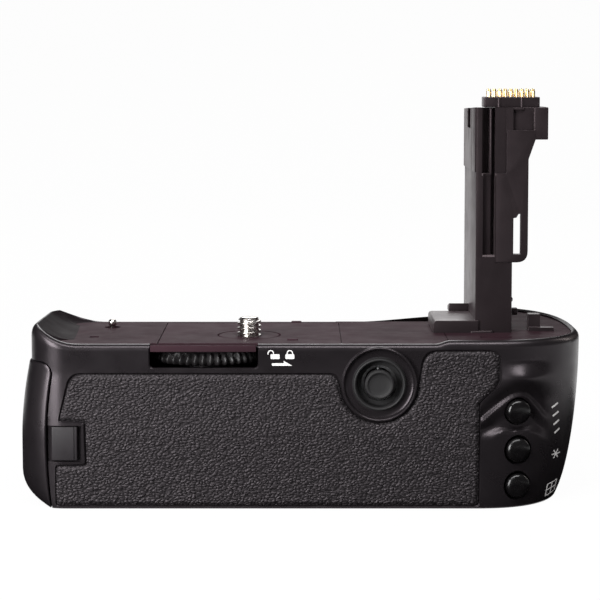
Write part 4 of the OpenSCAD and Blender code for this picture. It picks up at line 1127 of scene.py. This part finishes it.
def left_rim():
    """Concave inside of the raised left rim, running out onto the deck, in a darker plastic that paints the
    shade of its bowl.
    """
    rear, front = rear_path(DECK_Z, 1.5), front_path(DECK_Z, 1.5)
    line = np.concatenate([rear[rear[:, 0] < -55][::-1], front[front[:, 0] < -51][::-1][1:]])
    course = np.gradient(line, axis=0)
    course /= np.linalg.norm(course, axis=1, keepdims=True)
    inward = np.stack([course[:, 1], -course[:, 0]], 1)
    rise = top_edge(line[:, 0], line[:, 1]) - DECK_Z
    upper, lower = [], []
    for s in np.linspace(0, 1, 14):
        spread = line + inward * (s * (0.5 + 2.0 * rise))[:, None]
        height = DECK_Z + 0.02 + (rise - 0.06) * (1 - s) ** 2.1
        upper.append(np.column_stack([spread, height]))
        lower.append(np.column_stack([spread, np.full(len(line), DECK_Z - 0.5)]))
    rim = sheet("left_rim", np.array(upper), np.array(lower))
    dress(rim, "housing", "shell_plastic", SHADED_RIM, sharp=50)


# End cap of the battery tray

CAP_CORNER = 3.2
CAP_ROLL = 0.6
CAP_ROUND = 9.0
CAP_ARC = 10.0
CAP_TURN = 75.0
CAP_IN = 2.2
SPINDLE_R = 2.0
SCREW_OUT = 15
TRAY_SCREW_Z = 12.6


def rolled(gap):
    """Inset of a rounded edge at that distance from it."""
    gap = np.clip(gap, 0, CAP_ROLL)
    return CAP_ROLL - np.sqrt(CAP_ROLL**2 - (CAP_ROLL - gap) ** 2)


def cap_end(z):
    """How far the end cap reaches to the left at height z."""
    foot = CAP_ROUND - math.sqrt(CAP_ROUND**2 - (CAP_ROUND - z) ** 2) if z < CAP_ROUND else 0.0
    return CAP_X - CAP_IN * (max(0.0, z - BULGE_Z) / (CAP_H - BULGE_Z)) ** 2 - foot


def cap_ring(z, inset, edge):
    """Ring of the end cap at height z, open in plan towards the housing: each side is an arc that ends
    at the seam before it is straight."""
    w = inset + float(edge_in(z)) + (float(rolled(CAP_H - z)) if inset == 0 else 0.0)
    left = w - cap_end(z)
    low, high = REAR_Y + w + float(belly(z)), float(front_face(SEAM_X, z)) - w
    turn = np.radians(np.concatenate([np.linspace(0, 66, 18), np.linspace(67, CAP_TURN, 9)]))
    x = left + (edge - left) * (1 - np.cos(turn)) / (1 - np.cos(turn[-1]))
    side = CAP_ARC * (1 - np.sin(turn))
    gap = edge - x
    corner = np.hypot(np.maximum(CAP_CORNER - gap, 0), max(CAP_CORNER - (CAP_H - z), 0))
    near_corner = np.where((gap < CAP_CORNER) & (CAP_H - z < CAP_CORNER), CAP_CORNER - corner, gap)
    roll = rolled(near_corner) if inset == 0 else 0 * x
    ring = np.concatenate([np.stack([x, low + side + roll], 1), np.stack([x, high - side - roll], 1)[::-1]])
    return np.column_stack([ring, np.full(len(ring), z)])


def end_cap():
    """Hollow end cap with the lock's cup, bosses and the slot of the lock cam."""
    levels = [0.2, 0.35, 0.6, 0.9, 1.2, 1.6, 2.2, 3, 4, 5, 6] + list(np.arange(7.5, CAP_H - 3.5, 1.5))
    levels += list(np.arange(CAP_H - 3.4, CAP_H - CAP_ROLL, 0.3))
    levels += [CAP_H - CAP_ROLL * k for k in (0.9, 0.6, 0.35, 0.15, 0.05, 0)]
    cap = stack("end_cap", [cap_ring(z, 0.0, float(seam(z)) - SEAM_GAP) for z in levels])
    edge = seam_outline(SEAM_GAP, CAP_CORNER, -5, CAP_H)
    combine(cap, [prism("cap_edge", edge, "y", -60, 60)], "INTERSECT")
    inside = [cap_ring(z, WALL, float(seam(z)) + 2) for z in (WALL + 0.6, 5, 8, 12, 18, 24, 30, CAP_H - WALL)]
    combine(cap, [stack("inside", inside)])
    y, z = LOCK
    joined = [
        rod("cup", LOCK_R + 1.8, (1.2 - CAP_X, y, z), (3.6 - CAP_X, y, z)),
        rod("boss", 2 * SPINDLE_R, (3 - CAP_X, y, z), (-67.3, y, z)),
    ]
    for side in (y - SCREW_OUT, y + SCREW_OUT):
        joined.append(rod("screw_boss", 2.6, (1.6 - CAP_X, side, TRAY_SCREW_Z), (-64.25, side, TRAY_SCREW_Z)))
    combine(cap, joined, "UNION")
    recess = [(LOCK_R + 0.9, -5), (LOCK_R + 0.9, -0.1), (LOCK_R + 0.3, 0.6), (LOCK_R + 0.3, 1.75)]
    combine(cap, [
        lathe("recess", recess, (-CAP_X, y, z), (1, 0, 0)),
        rod("spindle_bore", SPINDLE_R + 0.2, (-CAP_X, y, z), (-60, y, z)),
        block("cam_slot", (-67.6, y - 13.5, CAP_H - WALL - 1), (-65.4, y + 3.5, CAP_H + 1)),
    ])
    dress(cap, "tray", "shell_plastic", SHELL, "tray_end_cap", sharp=30)


def lock_knob():
    """Turning lock of the end cap: a disc with finger hollows on both sides of a grip bar."""
    y, z = LOCK
    edge = [(0, -1.6), (LOCK_R, -1.6), (LOCK_R, -0.6), (LOCK_R - 0.1, -0.42), (LOCK_R - 0.3, -0.3), (0, -0.3)]
    knob = lathe("lock_disc", edge, (-CAP_X, y, z), (-1, 0, 0), 128)
    hollows = []
    for side in (0, 180):
        bow = arc(0, 0, LOCK_R - 1.3, side - 76, side + 76, 28)
        outline = rounded([(y + a, z + b) for a, b in bow], [0.8] + [0] * (len(bow) - 2) + [0.8], 5)
        hollows.append(prism("hollow", outline, "x", -CAP_X - 1, 1.2 - CAP_X))
    combine(knob, hollows)
    soften(knob, 0.2)
    combine(knob, [rod("spindle", SPINDLE_R, (1.5 - CAP_X, y, z), (-63.0, y, z))], "UNION")
    dress(knob, "lock", "bezel_plastic", BEZEL, "lock_knob")


# Controls

STEM_BORE = 1.65


def controller():
    """Thumb controller: dished bezel with a bright rim, rubber ring and dished knob."""
    place, out = (KNOB[0], REAR_Y, KNOB[1]), (0, -1, 0)
    bezel = [
        (6.95, -1.8), (8.5, -1.8), (8.5, -1.3), (9.55, -1.3), (9.75, -0.2), (9.72, 0.12), (9.6, 0.36),
        (9.42, 0.48), (9.22, 0.46), (9.04, 0.32), (8.88, 0.06), (8.7, -0.3), (8.4, -0.46), (7.9, -0.5),
        (7.3, -0.52), (6.98, -0.55),
    ]
    ring = lathe("bezel_ring", bezel, place, out, 128, True)
    dress(ring, "housing", "bezel_plastic", BEZEL, "controller_bezel")
    boot = [
        (4.6, -2.6), (7.85, -2.6), (7.85, -0.6), (6.86, -0.55), (6.8, 0.1), (6.74, 0.42), (6.6, 0.64),
        (6.4, 0.72), (6.18, 0.64), (6.02, 0.4), (5.9, -0.1), (5.8, -0.8), (5.7, -2.2), (4.6, -2.2),
    ]
    ring = lathe("rubber_ring", boot, place, out, 128, True)
    dress(ring, "housing", "knob_rubber", KNOB_RUBBER, "controller_boot")
    knob = [
        (0, 0.86), (STEM_BORE, 0.86), (STEM_BORE, -2.4), (3.6, -2.4), (3.7, -1.3), (3.82, 0.4),
        (3.8, 0.82), (3.68, 1.14), (3.46, 1.32), (3.2, 1.35), (3.0, 1.25), (2.84, 1.08), (2.6, 0.99),
        (1.6, 0.95), (0, 0.94),
    ]
    dress(lathe("knob_cap", knob, place, out, 128), "knob", "knob_rubber", KNOB_RUBBER, "controller_knob")


def buttons():
    """Three polished domes in their wells."""
    dome = [(0, -2.6), (3.25, -2.6), (3.25, -0.3), (3.2, 0.02), (3.08, 0.3), (2.88, 0.54), (2.6, 0.74)]
    dome += [(2.2, 0.9), (1.7, 1.0), (1.2, 1.06), (0.6, 1.09), (0, 1.1)]
    for name, z in BUTTON_Z.items():
        obj = lathe(name + "_dome", dome, button_spot(z), well_axis(), 96)
        dress(obj, name + "_key", "button_plastic", GLOSS, name + "_button", sharp=50)


def thumbwheel():
    """Ribbed wheel with chamfered teeth."""
    def teeth(angle, r):
        """Radius with ribs on the rim."""
        crest = 0.5 + 0.5 * np.cos(angle * WHEEL_RIBS)
        return r - 1.1 * (1 - crest**0.75) * (r > WHEEL_R - 2)

    z0, z1 = WHEEL_Z
    profile = [
        (1.6, z0), (WHEEL_R - 1.0, z0), (WHEEL_R - 0.25, z0 + 0.3), (WHEEL_R, z0 + 0.8), (WHEEL_R, z1 - 1.75),
        (WHEEL_R - 0.12, z1 - 1.5), (WHEEL_R - 0.95, z1 - 0.15), (WHEEL_R - 1.3, z1), (1.6, z1),
    ]
    wheel = lathe("ribbed_wheel", profile, (*WHEEL, 0), (0, 0, 1), WHEEL_RIBS * 10, True, teeth)
    dress(wheel, "wheel", "wheel_rubber", WHEEL_RUBBER, "thumbwheel", sharp=40)


PITCH = 1.27


def attachment_screw():
    """Camera screw with a real helical thread, standing on its round flange."""
    steps, foot, tip = 72, DISC_Z + 0.3, SCREW_TOP
    angle = 2 * np.pi * np.arange(steps) / steps
    rings = []
    for z in np.linspace(foot, tip, 84):
        turn = np.mod((z - foot) / PITCH - angle / (2 * np.pi), 1)
        crest = ease(0.12, 0.42, 0.5 - np.abs(turn - 0.5))
        r = np.minimum(SCREW_R - 0.68 * (1 - crest), 2.2 + 1.1 * (tip - z))
        x, y = SCREW[0] + r * np.cos(angle), SCREW[1] + r * np.sin(angle)
        rings.append(np.stack([x, y, np.full(steps, z)], 1))
    dress(stack("thread", rings), "screw", "screw_steel", NICKEL, "attachment_screw", sharp=60)
    flange = [
        (0, 40.35), (2, 40.35), (2, 40.85), (3.1, 40.85), (3.1, DISC_Z), (DISC_R, DISC_Z),
        (DISC_R, DECK_Z - 0.22), (DISC_R - 0.2, DECK_Z - 0.02), (4.0, DECK_Z - 0.02), (3.5, DECK_Z - 0.15),
        (0, DECK_Z - 0.15),
    ]
    dress(lathe("flange", flange, (*SCREW, 0), (0, 0, 1), 128), "screw", "deck_plastic", DECK)


def locating_pin():
    """Ball-headed pin in its recess."""
    profile = [
        (0, 39.2), (2.1, 39.2), (2.1, 40.1), (1.1, 40.1), (0.85, 42.0), (0.82, 42.9), (0.98, 43.25),
        (1.13, 43.7), (1.14, 44.1), (1.02, 44.5), (0.78, 44.8), (0.42, 44.96), (0, 45.0),
    ]
    pin = lathe("pin", profile, (*GUIDE, 0), (0, 0, 1), 64)
    dress(pin, "housing", "screw_steel", NICKEL, "locating_pin", sharp=60)


# Stalk

STALK_X = (46.9, 56.7)
STALK_Y = (-14.4, 22.5)
STALK_TOP = 103.0
COLLAR_Z = 85.4
CHANNEL_X = (48.75, 52.0)
CHANNEL_Z = 63.6
PLUG_X = (49.05, 63.85)
PLUG_Y = (-12.9, -4.9)
PLUG_TOP = 105.7
PIN_COUNT = 9


def stepped_cut(name, x, foot, deep):
    """Cut into the near face of the stalk, with a steep chamfer at its foot."""
    y = STALK_Y[0]
    section = [
        (y - 1, foot - 0.5), (y, foot - 0.5), (y + 0.3, foot), (y + deep, foot), (y + deep, STALK_TOP + 1),
        (y - 1, STALK_TOP + 1),
    ]
    return prism(name, section, "x", *x)


def stalk_piece(name, low, high, bevel=0.25):
    """Plain block of the stalk's plastic."""
    dress(block(name, low, high, bevel), "housing", "stalk_plastic", STALK)


def stalk():
    """Stalk body with its channel and collar, the cover plate with the loop, and the lug."""
    (x0, x1), (y0, y1) = STALK_X, STALK_Y
    side = [(y0, DECK_Z - 0.4), (y1, DECK_Z - 0.4), (y1, STALK_TOP - 1), (y0, STALK_TOP)]
    body = prism("stalk_block", side, "x", x0, x1, 0.3)
    combine(body, [
        stepped_cut("channel", CHANNEL_X, CHANNEL_Z, 5.0),
        stepped_cut("recess", (48.4, 54.95), COLLAR_Z, 0.9),
        block("cover_seat", (CHANNEL_X[1] + 0.15, y0 - 1, 61.5), (x1 + 1, y0 + 0.35, COLLAR_Z - 0.2)),
        block("top_seat", (54.9, y0 - 1, COLLAR_Z - 0.5), (x1 + 1, y0 + 0.35, STALK_TOP + 1)),
        block("notch", (x0 - 1, 0, 97), (x0 + 0.3, 10, STALK_TOP + 1)),
    ])
    dress(body, "housing", "stalk_plastic", STALK, "stalk_body", sharp=25)

    near, far, foot = y0 + 0.5, y1 - 0.3, COLLAR_Z + 0.3
    side = [(near, foot), (far, foot), (far, STALK_TOP - 1), (near, STALK_TOP)]
    collar = prism("stalk_collar", side, "x", x0 - 0.35, x0 + 0.5, 0.15)
    combine(collar, [
        block("notch", (x0 - 2, 0, 97), (x0 + 2, 10, STALK_TOP + 1)),
        block("line", (x0 - 2, -3.6, COLLAR_Z - 1), (x0 - 0.1, -2.8, STALK_TOP + 1)),
    ])
    dress(collar, "housing", "stalk_plastic", STALK, sharp=25)

    back = y0 + 5.1
    stalk_piece("channel_rib", (50.5, y0 + 0.25, COLLAR_Z - 0.4), (51.0, back, STALK_TOP - 0.3), 0.2)
    step_low = (CHANNEL_X[0] - 0.1, y0 + 1.6, CHANNEL_Z - 0.1)
    stalk_piece("channel_step", step_low, (51.0, back, COLLAR_Z), 0.2)

    corners = [
        (52.2, 61.6), (60.85, 61.6), (60.85, 89.2), (62.7, 94.5), (62.7, 96.9), (54.95, 96.9),
        (54.95, COLLAR_Z), (52.2, COLLAR_Z),
    ]
    plate = rounded(corners, [0.2, 3.0, 2, 0.5, 0.2, 0.6, 0.2, 0.2])
    cover = prism("cover_plate", plate, "y", y0, y0 + 2.6, 0.3)
    loop = [(56.95, 63.8), (58.95, 63.8), (58.95, 74.6), (58.3, 74.6), (57.75, 73.6), (56.95, 73.5)]
    combine(cover, [prism("loop", rounded(loop, 0.2, 3), "y", y0 - 2, y0 + 5)])
    dress(cover, "housing", "stalk_plastic", STALK, "stalk_cover", sharp=25)

    stalk_piece("lug", (62.2, y0 + 0.15, 94.4), (66.0, -0.4, STALK_TOP))
    stalk_piece("top_block", (54.9, y0 + 1.5, 94.4), (63.5, -0.4, STALK_TOP))
    stalk_piece("latch", (56.1, y0 + 0.9, 102.1), (59.6, y0 + 2.5, 102.9))
    stalk_piece("hook", (x1 - 0.5, -6, 46.4), (59.2, -3.8, 48.3), 0.3)
    stalk_piece("foot_ledge", (45.6, y0 - 0.75, DECK_Z - 0.4), (51.6, y0 + 0.5, 43.3), 0.35)
    foot = rounded([(35.7, DECK_Z - 0.4), (47.8, DECK_Z - 0.4), (47.8, 46), (35.7, 46)], [0, 0, 0.2, 1.1])
    foot = prism("foot_block", foot, "y", -15, 7, 0.25)
    dress(foot, "housing", "deck_plastic", STALK, "stalk_foot")
    clip = [(6.2, 45.8), (11.6, 45.8), (11.6, 47.1), (6.2, 48.2)]
    dress(prism("clip", clip, "x", 41.4, 46.85, 0.2), "housing", "stalk_plastic", STALK, "stalk_clip")
    nub = [(0.75, -0.5), (0.75, 0.2), (0.6, 0.5), (0.3, 0.68), (0, 0.72)]
    dress(lathe("nub", nub, (x1, -10, 51.2), (1, 0, 0), 32), "housing", "stalk_plastic", STALK)


def connector():
    """Keyed connector block with two rows of gold pins."""
    (x0, x1), (y0, y1) = PLUG_X, PLUG_Y
    plug = block("plug", (x0, y0, STALK_TOP - 0.05), (x1, y1, PLUG_TOP), 0.25)
    y = y0 + 0.15
    keys = [rod("key", 0.5, (x, y, STALK_TOP), (x, y, PLUG_TOP - 0.2), 24) for x in (53.0, 59.1)]
    combine(plug, keys, "UNION")
    dress(plug, "housing", "stalk_plastic", STALK, "connector_block", sharp=30)
    pitch = (x1 - x0 - 1.6) / PIN_COUNT
    shape = [(0.46, -0.1), (0.46, 1.35), (0.42, 1.62), (0.34, 1.8), (0.34, 1.95), (0.27, 2.13)]
    shape += [(0.12, 2.2), (0, 2.2)]
    first, *others = (
        lathe("gold_pins", shape, (x0 + 0.8 + pitch * (k + 0.5), y, PLUG_TOP), (0, 0, 1), 24)
        for k in range(PIN_COUNT)
        for y in (y0 + 2, y1 - 2)
    )
    combine(first, others, "UNION")
    dress(first, "housing", "gold", GOLD, "contact_pins", sharp=40)


# Cord cover and marks

def cord_cover():
    """Soft flap over the cord hole, with a thin lip at its free edge."""
    z0, z1 = CORD_COVER_Z
    face, back = REAR_Y + 0.3, REAR_Y + CORD_COVER_T
    hinge = arc(FLAP_HINGE_X, (face + back) / 2, (back - face) / 2, 90, 270, 8)
    flap = prism("cord_flap", hinge + [(-57.4, face), (-57.4, back)], "z", z0, z1, 0.2)
    combine(flap, [block("lip_line", (-58.3, REAR_Y - 1, z0 - 1), (-58.1, REAR_Y + 0.6, z1 + 1))])
    dress(flap, "flap", "cover_rubber", COVER_RUBBER, "cord_cover", sharp=30)


INK_LIFT = 0.035


def ink_mark(name, strokes, width):
    """Printed mark on the rear face: each stroke is a line of (x, z) points."""
    points, faces = [], []
    for stroke in strokes:
        line = np.array(stroke, float)
        for a, b in zip(line, line[1:]):
            step = (b - a) / np.linalg.norm(b - a)
            side = np.array([-step[1], step[0]]) * width / 2
            count = max(2, int(np.linalg.norm(b - a) / 0.2))
            start = len(points)
            for t in np.linspace(0, 1, count + 1):
                spot = a + (b - a) * t
                for edge in (spot - side, spot + side):
                    points.append((edge[0], float(rear_surface(*edge)) - INK_LIFT, edge[1]))
            faces += grid_faces(count + 1, 2, start)
    mark = mesh_object(name, points, faces)
    dress(mark, "housing", None, INK)


def ink_patch(name, outline):
    """Filled printed mark on the rear face."""
    points = [(x, float(rear_surface(x, z)) - INK_LIFT, z) for x, z in outline]
    dress(mesh_object(name, points, [tuple(range(len(points)))]), "housing", None, INK)


def padlock(name, x, swing):
    """Small padlock, whose shackle swings out to one side when it is open."""
    body = [(x - 1.15, 38.95), (x + 1.15, 38.95), (x + 1.15, 40.2), (x - 1.15, 40.2)]
    ink_patch(name + "_case", rounded(body, 0.2, 3))
    shackle = [(x + swing - 0.7, 40.1)] + arc(x + swing, 40.45, 0.7, 180, 0, 8) + [(x + swing + 0.7, 40.1)]
    ink_mark(name + "_shackle", [shackle], 0.28)


def marks():
    """Plain pictograms: padlocks and an arrow by the wheel, and one sign beside each button."""
    padlock("open_lock", -6.4, -1.1)
    padlock("shut_lock", -2.6, 0.0)
    ink_patch("lock_arrow", [(-7.2, 37.2), (-2.0, 37.2), (-4.2, 38.5), (-4.2, 37.85), (-7.2, 37.85)])
    bars = [[(65.5 + 0.3 * k, 25.4 - 2.3 * k), (67.3 + 0.2 * k, 26.4 - 2.3 * k)] for k in range(4)]
    ink_mark("focus_bars", bars, 0.5)
    rays = [(1.3 * math.cos(t), 1.3 * math.sin(t)) for t in np.radians((0, 60, 120))]
    ink_mark("star", [[(67 - a, 12.8 - b), (67 + a, 12.8 + b)] for a, b in rays], 0.32)
    square = [(64.3, 1.6), (67.2, 2.2), (67.8, 5.3), (64.8, 4.8), (64.3, 1.6)]
    ink_mark("grid", [square, [(65.75, 1.9), (66.3, 5.05)], [(64.55, 3.2), (67.5, 3.75)]], 0.3)


rear_shell()
front_shell()
rear_leatherette()
front_rubber()
deck()
slot_bar()
left_rim()
end_cap()
lock_knob()
controller()
buttons()
thumbwheel()
attachment_screw()
locating_pin()
stalk()
connector()
cord_cover()
marks()

SOLIDS = (
    (SHELL, 0.3, ("base_plate",)),
    (STALK, 0.22, ("door_post",)),
    (BEZEL, 0.25, ("shutter_collar",)),
    (GLOSS, 0.2, ("shutter_button", "function_button", "power_switch")),
    (WHEEL_RUBBER, 0.12, ("main_dial",)),
    (INNER, 0.15, (
        "battery_chamber", "wheel_bracket", "tact_switches", "controller_base", "dial_bracket", "tray_frame",
    )),
    (STEEL, 0.08, (
        "tripod_bush", "base_screws", "wheel_axle", "screw_carrier", "carrier_screws", "stalk_screws",
        "dial_axle", "controller_gimbal", "controller_stem", "tray_screws", "lock_cam", "lock_keeper",
    )),
    (GOLD, 0.06, ("chamber_contacts", "tray_contacts")),
    (BRASS, 0.04, ("wheel_pinion", "screw_gear")),
    (BOARD, 0.06, ("main_board", "stalk_board", "button_board", "control_board")),
)
for material, edge, names in SOLIDS:
    for name in names:
        keep(name, material, edge)
